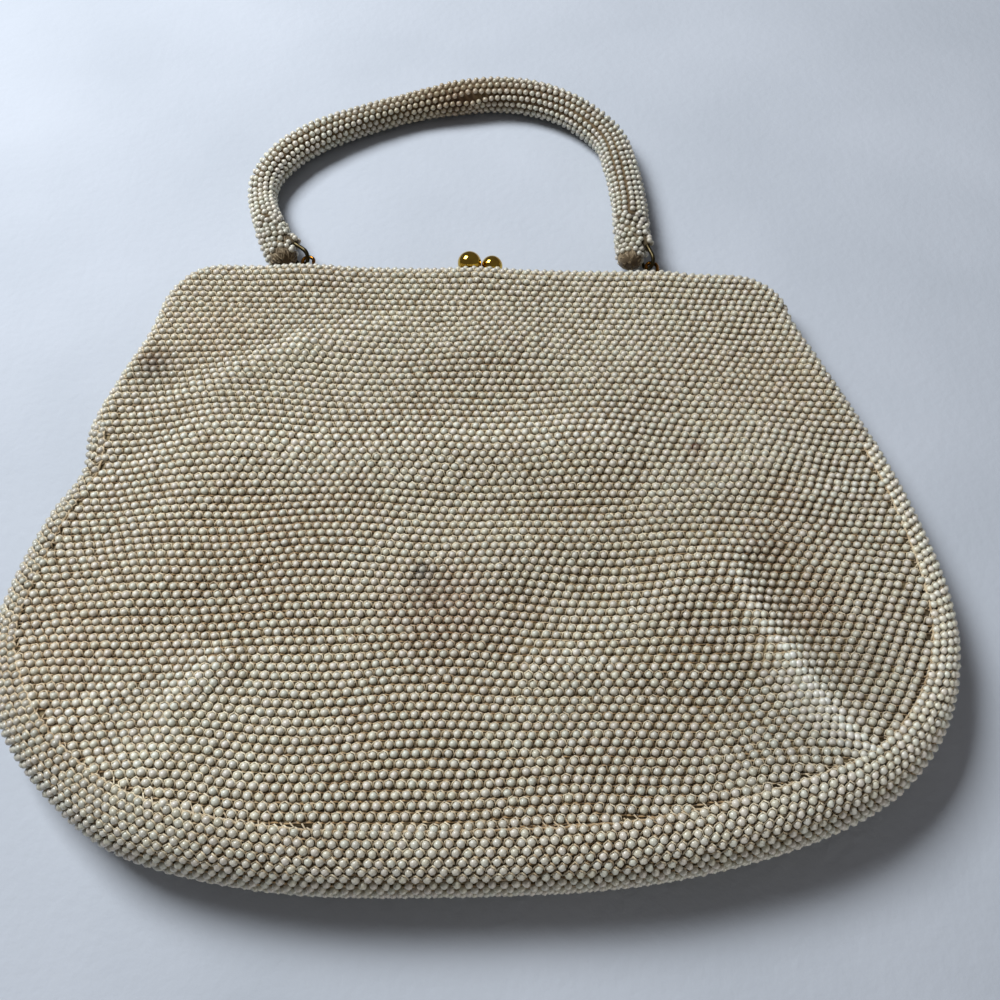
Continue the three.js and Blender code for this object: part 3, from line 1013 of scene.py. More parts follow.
@dataclass(frozen=True)
class SlackFront:
    """Height of the empty bag's front, with its folds."""

    outline: Outline
    heights: tuple[BodyHeight, ...] = BODY_HEIGHTS
    folds: tuple[Fold, ...] = FOLDS
    crease: Crease = Crease(((87, 25), (76.5, 36.9), (69.8, 48.8), (65.4, 56.3), (61, 68)), 2.4, 0.5)
    edge_reach: float = 30
    ripple: float = 0.22
    waves: tuple[Wave, ...] = (Wave(7.1, 11.3), Wave(13.7, -6.1), Wave(31, 4.3))
    painted_light: Wear = Wear()

    def fold_height(self, flat: Array, spread: float = 1) -> Array:
        """Rise of all folds: each one's rise times a bell curve of the distance to its line.

        Args:
            flat: Points, across and up.
            spread: Share of each fold's width that its bell curve has.

        Returns:
            The summed rise at each point.
        """
        folds = np.array(self.folds, float)
        start = folds[:, 0:2]
        along = folds[:, 2:4] - start
        away = flat[:, None] - start
        share = np.clip((away * along).sum(2) / (along * along).sum(1), 0, 1)
        distance = np.linalg.norm(away - share[..., None] * along, axis=2)
        return (folds[:, 5] * bell(distance / (spread * folds[:, 4]))).sum(1)

    def wear(self, flat: Array) -> Array:
        """Painted light in the beads' tints: brighter at the lower left, on crests and on the crease,
        darker in valleys.

        Args:
            flat: Points, across and up.

        Returns:
            The share added to the beads' tints.
        """
        painted_light = self.painted_light
        crests = np.clip(self.fold_height(flat, painted_light.crest_width), 0, painted_light.crest_top)
        valleys = np.clip(self.fold_height(flat), painted_light.valley_floor, 0)
        lower_left = smoothstep(-flat[:, 0], *painted_light.left) * smoothstep(-flat[:, 1], *painted_light.lower)
        on_crease = self.crease.nearness(flat, self.crease.width)
        # Painted highlights on crests and the crease, painted shade in valleys, painted light at the lower
        # left.
        highlights = painted_light.on_crest * crests + painted_light.on_crease * on_crease
        return highlights + painted_light.in_valley * valleys + painted_light.at_lower_left * lower_left

    def lifted(self, flat: Array) -> Array:
        """Rise of the folds, eased out to nothing at the seam."""
        _, out = self.outline.nearest(flat)
        return smoothstep(-out, 0, self.edge_reach) * self.fold_height(flat)

    def ripples(self, flat: Array) -> Array:
        """Faint unevenness of the cloth: three crossing sine waves."""
        return self.ripple * sum(wave.at(*flat.T) for wave in self.waves)

    def height(self, flat: Array) -> Array:
        """Height of the outer face: the edge's full height at the seam, eased to the slack body inside.

        Args:
            flat: Points inside the seam, across and up.

        Returns:
            The heights.
        """
        index, out = self.outline.nearest(flat)
        rows = np.array(self.heights, float)
        body = np.interp(flat[:, 1], rows[:, 0], rows[:, 1]) + self.fold_height(flat) + self.ripples(flat)
        body = body + self.crease.height * self.crease.nearness(flat, self.crease.width)
        slack = smoothstep(-out, 0, self.edge_reach)
        return (1 - slack) * 2 * self.outline.fine.radius[index] + slack * body


@dataclass(frozen=True)
class Soiling:
    """Tints of beads and thread, with soil and painted shade laid on them."""

    stains_and_shade: tuple[Stain, ...] = STAINS_AND_SHADE
    bead_colours: tuple[Colour, ...] = (
        linear(202, 198, 184),
        linear(199, 199, 185),
        linear(204, 198, 186),
        linear(202, 199, 181),
        linear(200, 198, 187),
    )
    bead_shares: tuple[float, ...] = (0.38, 0.2, 0.18, 0.16, 0.08)
    bead_spread: float = 0.022
    thread_pale: Colour = linear(236, 228, 203)
    thread_tan: Colour = linear(160, 134, 96)
    drift: tuple[Wave, Wave, Wave] = (Wave(23, math.inf, 1, 1), Wave(math.inf, 17), Wave(9.7, -13.1))
    thread_spread: float = 0.15
    lower_tan: float = 0.12
    lower: Span = (40, 150)

    def stained(self, tints: Array, flat: Array, on_beads: bool) -> Array:
        """Tints multiplied by each stain's colour, by a bell curve of the distance to it.

        Args:
            tints: Clean tints.
            flat: Places, across and up.
            on_beads: True for beads, which take less of a stain than thread does.

        Returns:
            The soiled tints.
        """
        for stain in self.stains_and_shade:
            soil = stain.kind.value
            away = np.hypot(flat[:, 0] - stain.across, flat[:, 1] - stain.up) / stain.reach
            cover = stain.cover * (soil.on_beads if on_beads else 1) * bell(away)
            tints = tints * (1 - cover[:, None] * (1 - np.array(soil.colour)))
        return tints

    def beads(self, flat: Array, rng: Rng) -> Array:
        """Tints of beads, drawn from a few ivories and soiled.

        Args:
            flat: Places, across and up.
            rng: Source of random numbers.

        Returns:
            One linear colour for each bead.
        """
        which = rng.choice(len(self.bead_colours), len(flat), p=self.bead_shares)
        shade = rng.normal(1, self.bead_spread, (len(flat), 1))
        return self.stained(np.array(self.bead_colours)[which] * shade, flat, on_beads=True)

    def threads(self, flat: Array, rng: Rng, tan_share: float) -> Array:
        """Tints of thread, which go from pale to tan in soft drifts down the bag.

        Args:
            flat: Places, across and up.
            rng: Source of random numbers.
            tan_share: How far towards tan the thread is on the whole.

        Returns:
            One linear colour for each strand.
        """
        broad, tall, slanted = (wave.at(*flat.T) for wave in self.drift)
        lower = self.lower_tan * (1 - 2 * smoothstep(flat[:, 1], *self.lower))
        tan = tan_share + lower + self.thread_spread * (broad * tall + slanted)
        tan = np.clip(tan + self.thread_spread * rng.normal(size=len(flat)), 0, 1)[:, None]
        colours = np.array(self.thread_pale) * (1 - tan) + np.array(self.thread_tan) * tan
        return self.stained(colours, flat, on_beads=False)


@dataclass(frozen=True)
class BeadField:
    """Beads of one piece: their middles, the ways they face and their tints."""

    middles: Array
    outward: Array
    tints: Array

    def kept(self, mask: Mask) -> BeadField:
        """The beads that a mask keeps."""
        return BeadField(self.middles[mask], self.outward[mask], self.tints[mask])

    def local(self, offsets: Array) -> Array:
        """Points beside each bead, given across, up and outward from its middle.

        Across and up lie along the cloth, at right angles to the way that the bead faces.

        Args:
            offsets: Offsets, as beads or 1 by points by 3.

        Returns:
            Points, as beads by points by 3.
        """
        across = unit(np.array([1.0, 0, 0]) - self.outward * self.outward[:, :1])
        axes = np.stack([across, np.cross(self.outward, across), self.outward], axis=1)
        offsets = np.broadcast_to(offsets, (len(self.middles), *offsets.shape[1:]))
        return self.middles[:, None] + np.einsum("npk,nkj->npj", offsets, axes)


@dataclass(frozen=True)
class BeadShape:
    """A small round bead, uneven in size, with painted shade at its foot."""

    radius: float = 0.91
    fullness: float = 1.03
    unevenness: float = 0.035
    foot_shade: Colour = (0.76, 0.67, 0.53)
    foot_shade_rise: Span = (-0.1, 1)
    halvings: int = 1

    def cloud(self, beads: BeadField, rng: Rng) -> Surface:
        """All beads of a field as one surface, each turned at random and stretched a little.

        A point's tint is its bead's, multiplied towards the painted shade's colour as it lies lower on the
        bead.

        Args:
            beads: The beads.
            rng: Source of random numbers.

        Returns:
            One surface.
        """
        points, faces = ball(self.halvings)
        count = len(beads.middles)
        stretch = rng.normal(1, self.unevenness, (count, 1, 3)) * self.radius * self.fullness
        around = np.einsum("nij,vj->nvi", random_turns(rng, count), points) * stretch
        lowness = -(around * beads.outward[:, None]).sum(2) / self.radius
        # Painted shade: darker towards the bead's foot, where it meets the cloth.
        share = smoothstep(lowness, *self.foot_shade_rise)[..., None]
        tints = beads.tints[:, None] * (1 - share * (1 - np.array(self.foot_shade)))
        starts = np.arange(count)[:, None, None] * len(points)
        return Surface(
            (beads.middles[:, None] + around).reshape(-1, 3),
            triangles=(faces[None] + starts).reshape(-1, 3),
            tints=tints.reshape(-1, 3),
        )


BEAD = BeadShape()


class Bench:
    """Where pieces are made: it places them in the frame, finishes them and fastens them to the body."""

    def __init__(self, outline: Outline) -> None:
        """Finds where the bag's own axes lie in the frame.

        The gusset's box shares its lowest edge and the middle of its width with the outline.

        Args:
            outline: The bag's outline.
        """
        low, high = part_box("gusset")
        points = outline.fine.outermost
        middle = (points[:, 0].min() + points[:, 0].max()) / 2
        self.shift = np.array([(low.x + high.x) / 2 / MM - middle, low.y / MM - points[:, 1].min(), 0])
        self.triangles = 0

    def piece(
        self,
        name: str,
        surface: Surface,
        finish: Finish,
        replaces: tuple[str, ...] = (),
        wall: float = 0,
    ) -> bpy.types.Object:
        """Makes one piece of the bag.

        Args:
            name: The piece's name.
            surface: Its shape.
            finish: Its finish.
            replaces: Solids that the piece stands for.
            wall: Thickness given to an open sheet, inwards.

        Returns:
            The piece.
        """
        made = self.mesh_object(name, replace(surface, points=raised(surface.points, 0)))
        made.data.materials.append(material_of(finish))
        if wall:
            thicken = made.modifiers.new("wall", "SOLIDIFY")
            thicken.thickness = wall * MM
            thicken.offset = -1
        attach(made, BODY)
        if replaces:
            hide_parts(*replaces)
        count = (2 * len(surface.quads) + len(surface.triangles)) * (2 if wall else 1)
        self.triangles += count
        log.info("%s: %d triangles", name, count)
        return made

    def mesh_object(self, name: str, surface: Surface) -> bpy.types.Object:
        """Puts a surface into a new object that sits at the origin.

        Args:
            name: The object's name.
            surface: Its shape, in the bag's own axes.

        Returns:
            The object.
        """
        mesh = bpy.data.meshes.new(name)
        corners = np.concatenate([surface.quads.ravel(), surface.triangles.ravel()]).astype(np.int32)
        sizes = np.repeat([4, 3], [len(surface.quads), len(surface.triangles)])
        starts = np.concatenate([[0], np.cumsum(sizes)[:-1]]).astype(np.int32)
        mesh.vertices.add(len(surface.points))
        mesh.vertices.foreach_set("co", ((surface.points + self.shift) * MM).astype(np.float32).ravel())
        mesh.loops.add(len(corners))
        mesh.loops.foreach_set("vertex_index", corners)
        mesh.polygons.add(len(sizes))
        mesh.polygons.foreach_set("loop_start", starts)
        mesh.polygons.foreach_set("use_smooth", np.ones(len(sizes), bool))
        if surface.tints is not None:
            colours = np.column_stack([surface.tints, np.ones(len(surface.tints))]).astype(np.float32)
            attribute = mesh.color_attributes.new(TINT, "FLOAT_COLOR", "POINT")
            attribute.data.foreach_set("color", colours.ravel())
        mesh.update(calc_edges=True)
        mesh.validate()
        made = bpy.data.objects.new(name, mesh)
        bpy.context.scene.collection.objects.link(made)
        return made


class Swell(NamedTuple):
    """A place across where metal pushes the lips out: its half width and how far it pushes."""

    across: float
    width: float
    push: float


class Capsule(NamedTuple):
    """A straight piece of metal that beads keep clear of."""

    start: Array
    stop: Array
    reach: float


def clear_of(points: Array, capsules: list[Capsule]) -> Mask:
    """True for points further than the reach from every capsule's line.

    Args:
        points: The points.
        capsules: The lines and their reaches.

    Returns:
        One truth value for each point.
    """
    clear = np.ones(len(points), bool)
    for capsule in capsules:
        away = points - capsule.start
        along = capsule.stop - capsule.start
        share = np.clip(away @ along / (along @ along), 0, 1)
        clear &= np.linalg.norm(away - share[:, None] * along, axis=1) > capsule.reach
    return clear


@dataclass(frozen=True)
class Stitch:
    """The crochet stitch under every bead: two strands that part round it, and one along its row.

    Places are across, up and outward from the bead's middle, or up and outward alone.
    """

    radius: float = 0.21
    row_radius: float = 0.27
    sides: int = 3
    slack: float = 0.08
    half_pitch: float = 1.165
    overlap: float = 0.15
    above: Place = (0.03, 1.12, 0.1)
    beside: Place = (-0.8, 0.62, 0.22)
    below: tuple[float, float] = (-0.45, -0.4)
    behind: tuple[float, float] = (-1.05, -0.42)

    def parting(self, beads: BeadField, rng: Rng) -> Surface:
        """The two strands that part over the bead and pass down each side of it to the next row.

        Args:
            beads: The beads.
            rng: Source of random numbers.

        Returns:
            All the left strands, then all the right ones.
        """
        left = np.array([self.above, self.beside, (-self.half_pitch, *self.below)])
        right = left * (-1, 1, 1)
        paths = np.concatenate([beads.local(left[None]), beads.local(right[None])])
        paths = paths + rng.normal(0, self.slack, paths.shape)
        facing = np.tile(beads.outward[:, None], (2, 1, 1))
        return tubes(paths, facing, self.radius, self.sides)

    def along_row(self, beads: BeadField, rng: Rng) -> Surface:
        """The strand that runs behind each bead along its row.

        Args:
            beads: The beads.
            rng: Source of random numbers.

        Returns:
            The strands.
        """
        reach = self.half_pitch + self.overlap
        paths = beads.local(np.array([[(-reach, *self.behind), (reach, *self.behind)]]))
        paths = paths + rng.normal(0, self.slack, paths.shape)
        return tubes(paths, beads.outward[:, None], self.row_radius, self.sides)


@dataclass
class BeadedPanel:
    """The front or back of the bag: crocheted cloth, beads in staggered rows and their thread."""

    outline: Outline
    soiling: Soiling
    face: Face
    metal: list[Capsule]
    seed: int
    pitch: float = 2.33
    row_step: float = ROW_STEP
    jitter: float = 0.09
    drift: float = 0.18
    unevenness: float = 0.045
    half_width: float = 120
    top_row: float = 177.3
    top_slope: float = -0.0237
    sloped: Span = (60, 165)
    sways: tuple[Wave, ...] = (Wave(15.1, 21, 0.7), Wave(7.4, -13, 0.4))
    swayed: Span = (-165, -140)
    side_sway: Wave = Wave(29, 8.3, 0.5)
    bow: float = 0.55
    bow_half: float = 60
    bowed: Span = (-55, -8)
    droop: float = 3
    drooped_sides: Span = (65, 112)
    drooped: Span = (-110, -60)
    fold_pull: float = 0.5
    lip_reach: float = 6.75
    lip_end: float = math.radians(14)
    lip_rows: int = 7
    seam_margin: float = 0.4
    cloth_depth: float = 1.5
    cloth_wall: float = 0.9
    middle: tuple[float, float] = (0, 92)
    rings: int = 32
    column_step: float = 3.3
    slope_step: float = 0.4
    # Bluish tint of the painted light and shade on the front's beads.
    painted_light_tint: Colour = (0.9, 1, 1.15)
    row_tan: float = 0.8
    row_shade: Colour = (1.04, 1, 0.92)
    stitch_tan: float = 0.2
    swells: tuple[Swell, ...] = (Swell(-53, 11, 0.8), Swell(-0.8, 9, 0.6), Swell(50.5, 9, 0.6))
    swelling: Span = (-18, -2)
    swell_rise: float = 0.8

    def __post_init__(self) -> None:
        """Sets up the front's heights and the panel's own random numbers."""
        self.front = SlackFront(self.outline)
        self.rng = np.random.default_rng(self.seed)

    def swollen(self, points: Array) -> Array:
        """Points of the lip pushed up the bag and off its middle over the lugs and the clasp.

        The push is a bell curve across, eased in from inside the seam to the outermost edge.

        Args:
            points: Points of the panel.

        Returns:
            The pushed points.
        """
        moved = points.copy()
        for swell in self.swells:
            near_top = smoothstep(points[:, 1] - self.outline.top_at(swell.across), *self.swelling)
            push = swell.push * bell((points[:, 0] - swell.across) / swell.width) * near_top
            moved[:, 1] += push
            if self.face is Face.FRONT:
                moved[:, 2] += self.swell_rise * push
        return moved

    def heights(self, flat: Array) -> Array:
        """Heights of the panel's outer face inside the seam."""
        return self.front.height(flat) if self.face is Face.FRONT else np.zeros(len(flat))

    def facing(self, flat: Array) -> Array:
        """Ways that the outer face looks inside the seam, from its slopes across and up.

        Args:
            flat: Points, across and up.

        Returns:
            One direction for each point.
        """
        moves = np.eye(2) * self.slope_step
        rises = [self.heights(flat + move) - self.heights(flat - move) for move in moves]
        across, up = np.array(rises) / (2 * self.slope_step)
        return unit(np.column_stack([-across, -up, np.ones(len(flat))])) * self.face.value

    def rows(self) -> Array:
        """Flat places of the beads before clipping.

        Beads stand a pitch apart in rows a step apart, with every other row shifted by half a pitch. Near
        the top the rows slope with the bag's top edge. Near the bottom they bow with the seam and droop at
        the bag's sides. On the front they crowd towards the sharp crease, and ridges draw them down and
        valleys up. Below the lip they sway a little.

        Returns:
            Places, across and up.
        """
        count = int(self.top_row / self.row_step) + 2
        half = int(self.half_width / self.pitch)
        row, column = np.indices((count, 2 * half + 1))
        drift = np.cumsum(self.rng.normal(0, self.drift, count))
        across = (column - half + 0.5 * (row % 2)) * self.pitch + (drift - drift.mean())[row]
        level = self.top_row - row * self.row_step
        up = level + self.top_slope * across * smoothstep(level, *self.sloped)
        up = up + smoothstep(-level, *self.swayed) * sum(wave.at(across, level) for wave in self.sways)
        lowest = self.outline.bottom_at(np.zeros(1))
        bow = self.outline.bottom_at(np.clip(across, -self.bow_half, self.bow_half)) - lowest
        up = up + self.bow * bow * smoothstep(-level, *self.bowed)
        at_sides = smoothstep(np.abs(across), *self.drooped_sides)
        up = up - self.droop * at_sides * smoothstep(-level, *self.drooped)
        across = across + self.side_sway.at(across, level)
        flat = np.stack([across, up], axis=-1).reshape(-1, 2)
        if self.face is Face.FRONT:
            flat[:, 0] += self.front.crease.crowding(flat)
            flat[:, 1] -= self.fold_pull * self.front.lifted(flat)
        return flat + self.rng.normal(0, self.jitter, flat.shape)

    def beads(self) -> BeadField:
        """Beads of the panel, laid on the cloth inside the seam and rolled over the lip at the mouth.

        On the lip a bead's flat distance past the seam becomes an angle round the half-round edge.

        Returns:
            The beads.
        """
        flat = self.rows()
        index, out = self.outline.nearest(flat)
        at_mouth = self.outline.at_mouth(index)
        keep = out < np.where(at_mouth, self.lip_reach, -self.seam_margin)
        flat, index, out = flat[keep], index[keep], out[keep]
        fine = self.outline.fine
        radius = fine.radius[index]
        inside = out < 0
        facing = np.zeros((len(flat), 3))
        facing[inside] = self.facing(flat[inside])
        turn = out[~inside] / (radius[~inside] - BEAD.radius)
        facing[~inside, :2] = fine.outward[index[~inside]] * np.sin(turn)[:, None]
        facing[~inside, 2] = self.face.value * np.cos(turn)
        foot = flat - fine.outward[index] * out[:, None]
        outer = np.column_stack([foot, radius]) + facing * radius[:, None]
        outer[inside] = np.column_stack([flat[inside], self.heights(flat[inside])])
        middles = outer - facing * BEAD.radius
        lift = self.rng.normal(0, self.unevenness, len(middles))
        middles[:, 2] += lift if self.face is Face.FRONT else np.abs(lift)
        middles = self.swollen(middles)
        tints = self.soiling.beads(flat, self.rng)
        if self.face is Face.FRONT:
            # Painted light and shade from the folds, the crease and the lower left of the front.
            tints = tints * (1 + self.front.wear(flat)[:, None] * self.painted_light_tint)
        made = BeadField(middles, facing, tints)
        return made.kept(clear_of(middles, self.metal))

    def cloth(self) -> Surface:
        """Open sheet of the cloth under the beads.

        Inside the seam the grid runs from the middle out to the seam in rings, a share of the way for each.
        Over the mouth it goes on round the half-round edge, by an angle for each row.

        Returns:
            The sheet, with its outer side facing out.
        """
        below = self.outline.below(self.column_step)
        mouth = self.outline.mouth(self.column_step)
        seam = np.vstack([below.seam, mouth.seam[1:-1]])
        columns = len(seam)
        shares = np.arange(1, self.rings + 1)[:, None, None] / self.rings
        flat = (np.array(self.middle) * (1 - shares) + seam * shares).reshape(-1, 2)
        flat = np.vstack([np.array([self.middle]), flat])
        drop = self.cloth_depth * self.face.value
        inside = np.column_stack([flat, self.heights(flat) - drop])
        angles = np.linspace(math.pi / 2, self.lip_end, self.lip_rows)[1:, None] * self.face.value
        lip = mouth.on_edge(angles, self.cloth_depth).reshape(-1, 3)
        rings = grid_quads(self.rings, columns, wrap=True) + 1
        spoke = np.arange(columns)
        fan = np.column_stack([np.zeros_like(spoke), spoke + 1, (spoke + 1) % columns + 1])
        at_mouth = (np.arange(len(mouth.seam)) + len(below.seam) - 1) % columns
        seam_row = 1 + (self.rings - 1) * columns + at_mouth
        numbers = np.concatenate([seam_row, len(inside) + np.arange(len(lip))])
        strip = numbers[grid_quads(len(angles) + 1, len(mouth.seam))]
        quads = np.vstack([rings, strip])[:, ::-1]
        if self.face is Face.BACK:
            quads = quads[:, ::-1]
            fan = fan[:, ::-1]
        return Surface(self.swollen(np.vstack([inside, lip])), quads, fan)

    def cut_area(self) -> float:
        """Flat area of the cloth: inside the seam, and the lip along the mouth.

        Returns:
            Square metres.
        """
        seam = self.outline.mouth(self.column_step).seam
        length = np.linalg.norm(np.diff(seam, axis=0), axis=1).sum()
        lip = (math.pi / 2 - self.lip_end) * (OUTLINE[RIGHT_HINGE].edge - self.cloth_depth)
        return (self.outline.seam_area() + length * lip) * MM * MM

    def build(self, bench: Bench) -> None:
        """Makes the panel's pieces.

        Args:
            bench: Where they are made.
        """
        word = self.face.word
        beads = self.beads()
        sheet = bench.piece(
            f"{word}_cloth", self.cloth(), Ground(), (f"{word}_panel",), wall=self.cloth_wall
        )
        lower = beads.middles[:, 1] < self.middle[1]
        halves = {"upper": ~lower, "lower": lower}
        on_it = [
            bench.piece(f"{word}_beads_{half}", BEAD.cloud(beads.kept(mask), self.rng), Beads())
            for half, mask in halves.items()
        ]
        on_it.extend(self.thread_pieces(beads, bench))
        width, length = np.ptp(self.outline.fine.outermost, axis=0) * MM
        self.cut_area()

    def thread_pieces(self, beads: BeadField, bench: Bench) -> list[bpy.types.Object]:
        """Makes the thread between the panel's beads.

        Args:
            beads: The beads.
            bench: Where the pieces are made.

        Returns:
            The pieces.
        """
        stitch = Stitch()
        flat = beads.middles[:, :2]
        tints = self.soiling.threads(flat, self.rng, self.row_tan) * self.row_shade
        rows = tinted(stitch.along_row(beads, self.rng), tints)
        made = [bench.piece(f"{self.face.word}_row_thread", rows, Thread())]
        if self.face is Face.FRONT:
            pairs = stitch.parting(beads, self.rng)
            tints = self.soiling.threads(np.tile(flat, (2, 1)), self.rng, self.stitch_tan)
            made.append(bench.piece("front_stitches", tinted(pairs, tints), Thread()))
        return made


@dataclass
class Gusset:
    """The beaded strip round the sides and bottom, half-round in section, and the seams along it."""

    outline: Outline
    soiling: Soiling
    seed: int = 21
    pitch: float = 2.4
    row_step: float = 1.84
    jitter: float = 0.09
    seam_margin: float = 0.65
    # Painted light: the gusset's beads are brightened overall, and more towards the right.
    clean: float = 1.07
    painted_light_rightward: float = 0.0022
    cloth_depth: float = 1.5
    cloth_wall: float = 0.9
    column_step: float = 2.6
    cloth_rows: int = 15
    thread_slack: float = 0.07
    row_tan: float = 0.7
    parting_from: float = 0.55
    parting_tan: float = 0.15
    cord_step: float = 0.9
    cord_sink: float = 0.95
    cord_radius: float = 0.3
    cord_sides: int = 5
    cord_slack: float = 0.1
    cord_tan: float = 0.6
    stitch_step: float = 2.5
    stitch_leans: tuple[float, ...] = (0.13, 0.05, -0.05, -0.13)
    stitch_slants: tuple[float, ...] = (-0.9, -0.3, 0.3, 0.9)
    stitch_radius: float = 0.17
    stitch_sides: int = 4
    stitch_slack: float = 0.18
    stitch_tan: float = 0.35

    def __post_init__(self) -> None:
        """Sets up the strip's own random numbers."""
        self.rng = np.random.default_rng(self.seed)

    def beads(self) -> BeadField:
        """Beads in staggered rows along the strip.

        A row keeps its distance from the front seam, which is an angle times the edge's radius, so rows end
        at the back where the strip grows too narrow for them.

        Returns:
            The beads.
        """
        stations = self.outline.below(self.pitch / 2)
        count = int(math.pi * max(stations.radius) / self.row_step) + 1
        row, column = np.indices((count, len(stations.radius)))
        staggered = (row + column) % 2 == 0
        row, column = row[staggered], column[staggered]
        reach = stations.radius[column] - BEAD.radius
        half = math.pi / 2 * reach - self.seam_margin
        away = half - row * self.row_step + self.rng.normal(0, self.jitter, len(row))
        keep = row * self.row_step < 2 * half
        row, column, reach, away = row[keep], column[keep], reach[keep], away[keep]
        angle = away / reach
        outward = stations.outward[column]
        facing = np.column_stack([outward * np.cos(angle)[:, None], np.sin(angle)])
        along = np.column_stack([-outward[:, 1], outward[:, 0], np.zeros(len(row))])
        seam = np.column_stack([stations.seam[column], stations.radius[column]])
        shaken = along * self.rng.normal(0, self.jitter, (len(row), 1))
        middles = raised(seam + facing * reach[:, None] + shaken, BEAD.radius)
        # Painted light on the gusset's beads, growing towards the right.
        painted_light_factor = self.clean + self.painted_light_rightward * middles[:, 0]
        return BeadField(middles, facing, self.soiling.beads(middles[:, :2], self.rng) * painted_light_factor[:, None])

    def cloth(self) -> Surface:
        """Open half-round sheet under the beads: an angle for each row at every station.

        Returns:
            The sheet, with its outer side facing out.
        """
        stations = self.outline.below(self.column_step)
        angles = np.linspace(-math.pi / 2, math.pi / 2, self.cloth_rows)[:, None]
        points = stations.on_edge(angles, self.cloth_depth)
        return Surface(points.reshape(-1, 3), grid_quads(self.cloth_rows, len(stations.radius)))

    def seam(self, face: Face) -> Surface:
        """Sewing thread along the seam with one panel: a sunk cord with slanting stitches over it.

        Args:
            face: The panel.

        Returns:
            The thread, tinted.
        """
        side = face.value
        cord = self.outline.below(self.cord_step)
        run = cord.on_edge(np.array([[side * math.pi / 2]]), self.cord_sink)
        run = run + self.rng.normal(0, self.cord_slack, run.shape)
        line = tubes(run, UP, self.cord_radius, self.cord_sides)
        stations = self.outline.below(self.stitch_step)
        lean = np.array(self.stitch_leans)[:, None]
        over = stations.on_edge(side * (math.pi / 2 + lean), self.cord_sink).transpose(1, 0, 2)
        tangent = np.column_stack([-stations.outward[:, 1], stations.outward[:, 0], 0 * stations.radius])
        over = over + np.array(self.stitch_slants)[:, None] * tangent[:, None]
        over = raised(over + self.rng.normal(0, self.stitch_slack, over.shape), self.cord_radius)
        stitches = tubes(over, UP, self.stitch_radius, self.stitch_sides)
        line = tinted(line, self.soiling.threads(line.points[:, :2], self.rng, self.cord_tan))
        tints = self.soiling.threads(stations.seam, self.rng, self.stitch_tan)
        return joined(line, tinted(stitches, tints))

    def build(self, bench: Bench) -> None:
        """Makes the strip's pieces.

        Args:
            bench: Where they are made.
        """
        beads = self.beads()
        sheet = bench.piece(
            "gusset_cloth", self.cloth(), Ground(), ("gusset",), wall=self.cloth_wall
        )
        on_it = [bench.piece("gusset_beads", BEAD.cloud(beads, self.rng), Beads())]
        stitch = Stitch(slack=self.thread_slack)
        tints = self.soiling.threads(beads.middles[:, :2], self.rng, self.row_tan)
        rows = tinted(stitch.along_row(beads, self.rng), tints)
        near = beads.kept(beads.outward[:, 2] > self.parting_from)
        pale = self.soiling.threads(np.tile(near.middles[:, :2], (2, 1)), self.rng, self.parting_tan)
        threads = joined(rows, tinted(stitch.parting(near, self.rng), pale))
        on_it.append(bench.piece("gusset_thread", threads, Thread()))
        on_it.extend(
            bench.piece(f"{face.word}_seam_thread", self.seam(face), Thread()) for face in Face
        )
        stations = self.outline.below(self.column_step)
        steps = np.linalg.norm(np.diff(stations.seam, axis=0), axis=1)


class ClaspBall(NamedTuple):
    """A clasp ball: its place across, its distance beyond the outline, its height and radius."""

    across: float
    beyond: float
    height: float
    radius: float


class Lug(NamedTuple):
    """A handle lug: its place across, and the heading and lean of the link on it, in degrees."""

    across: float
    heading: float
    lean: float


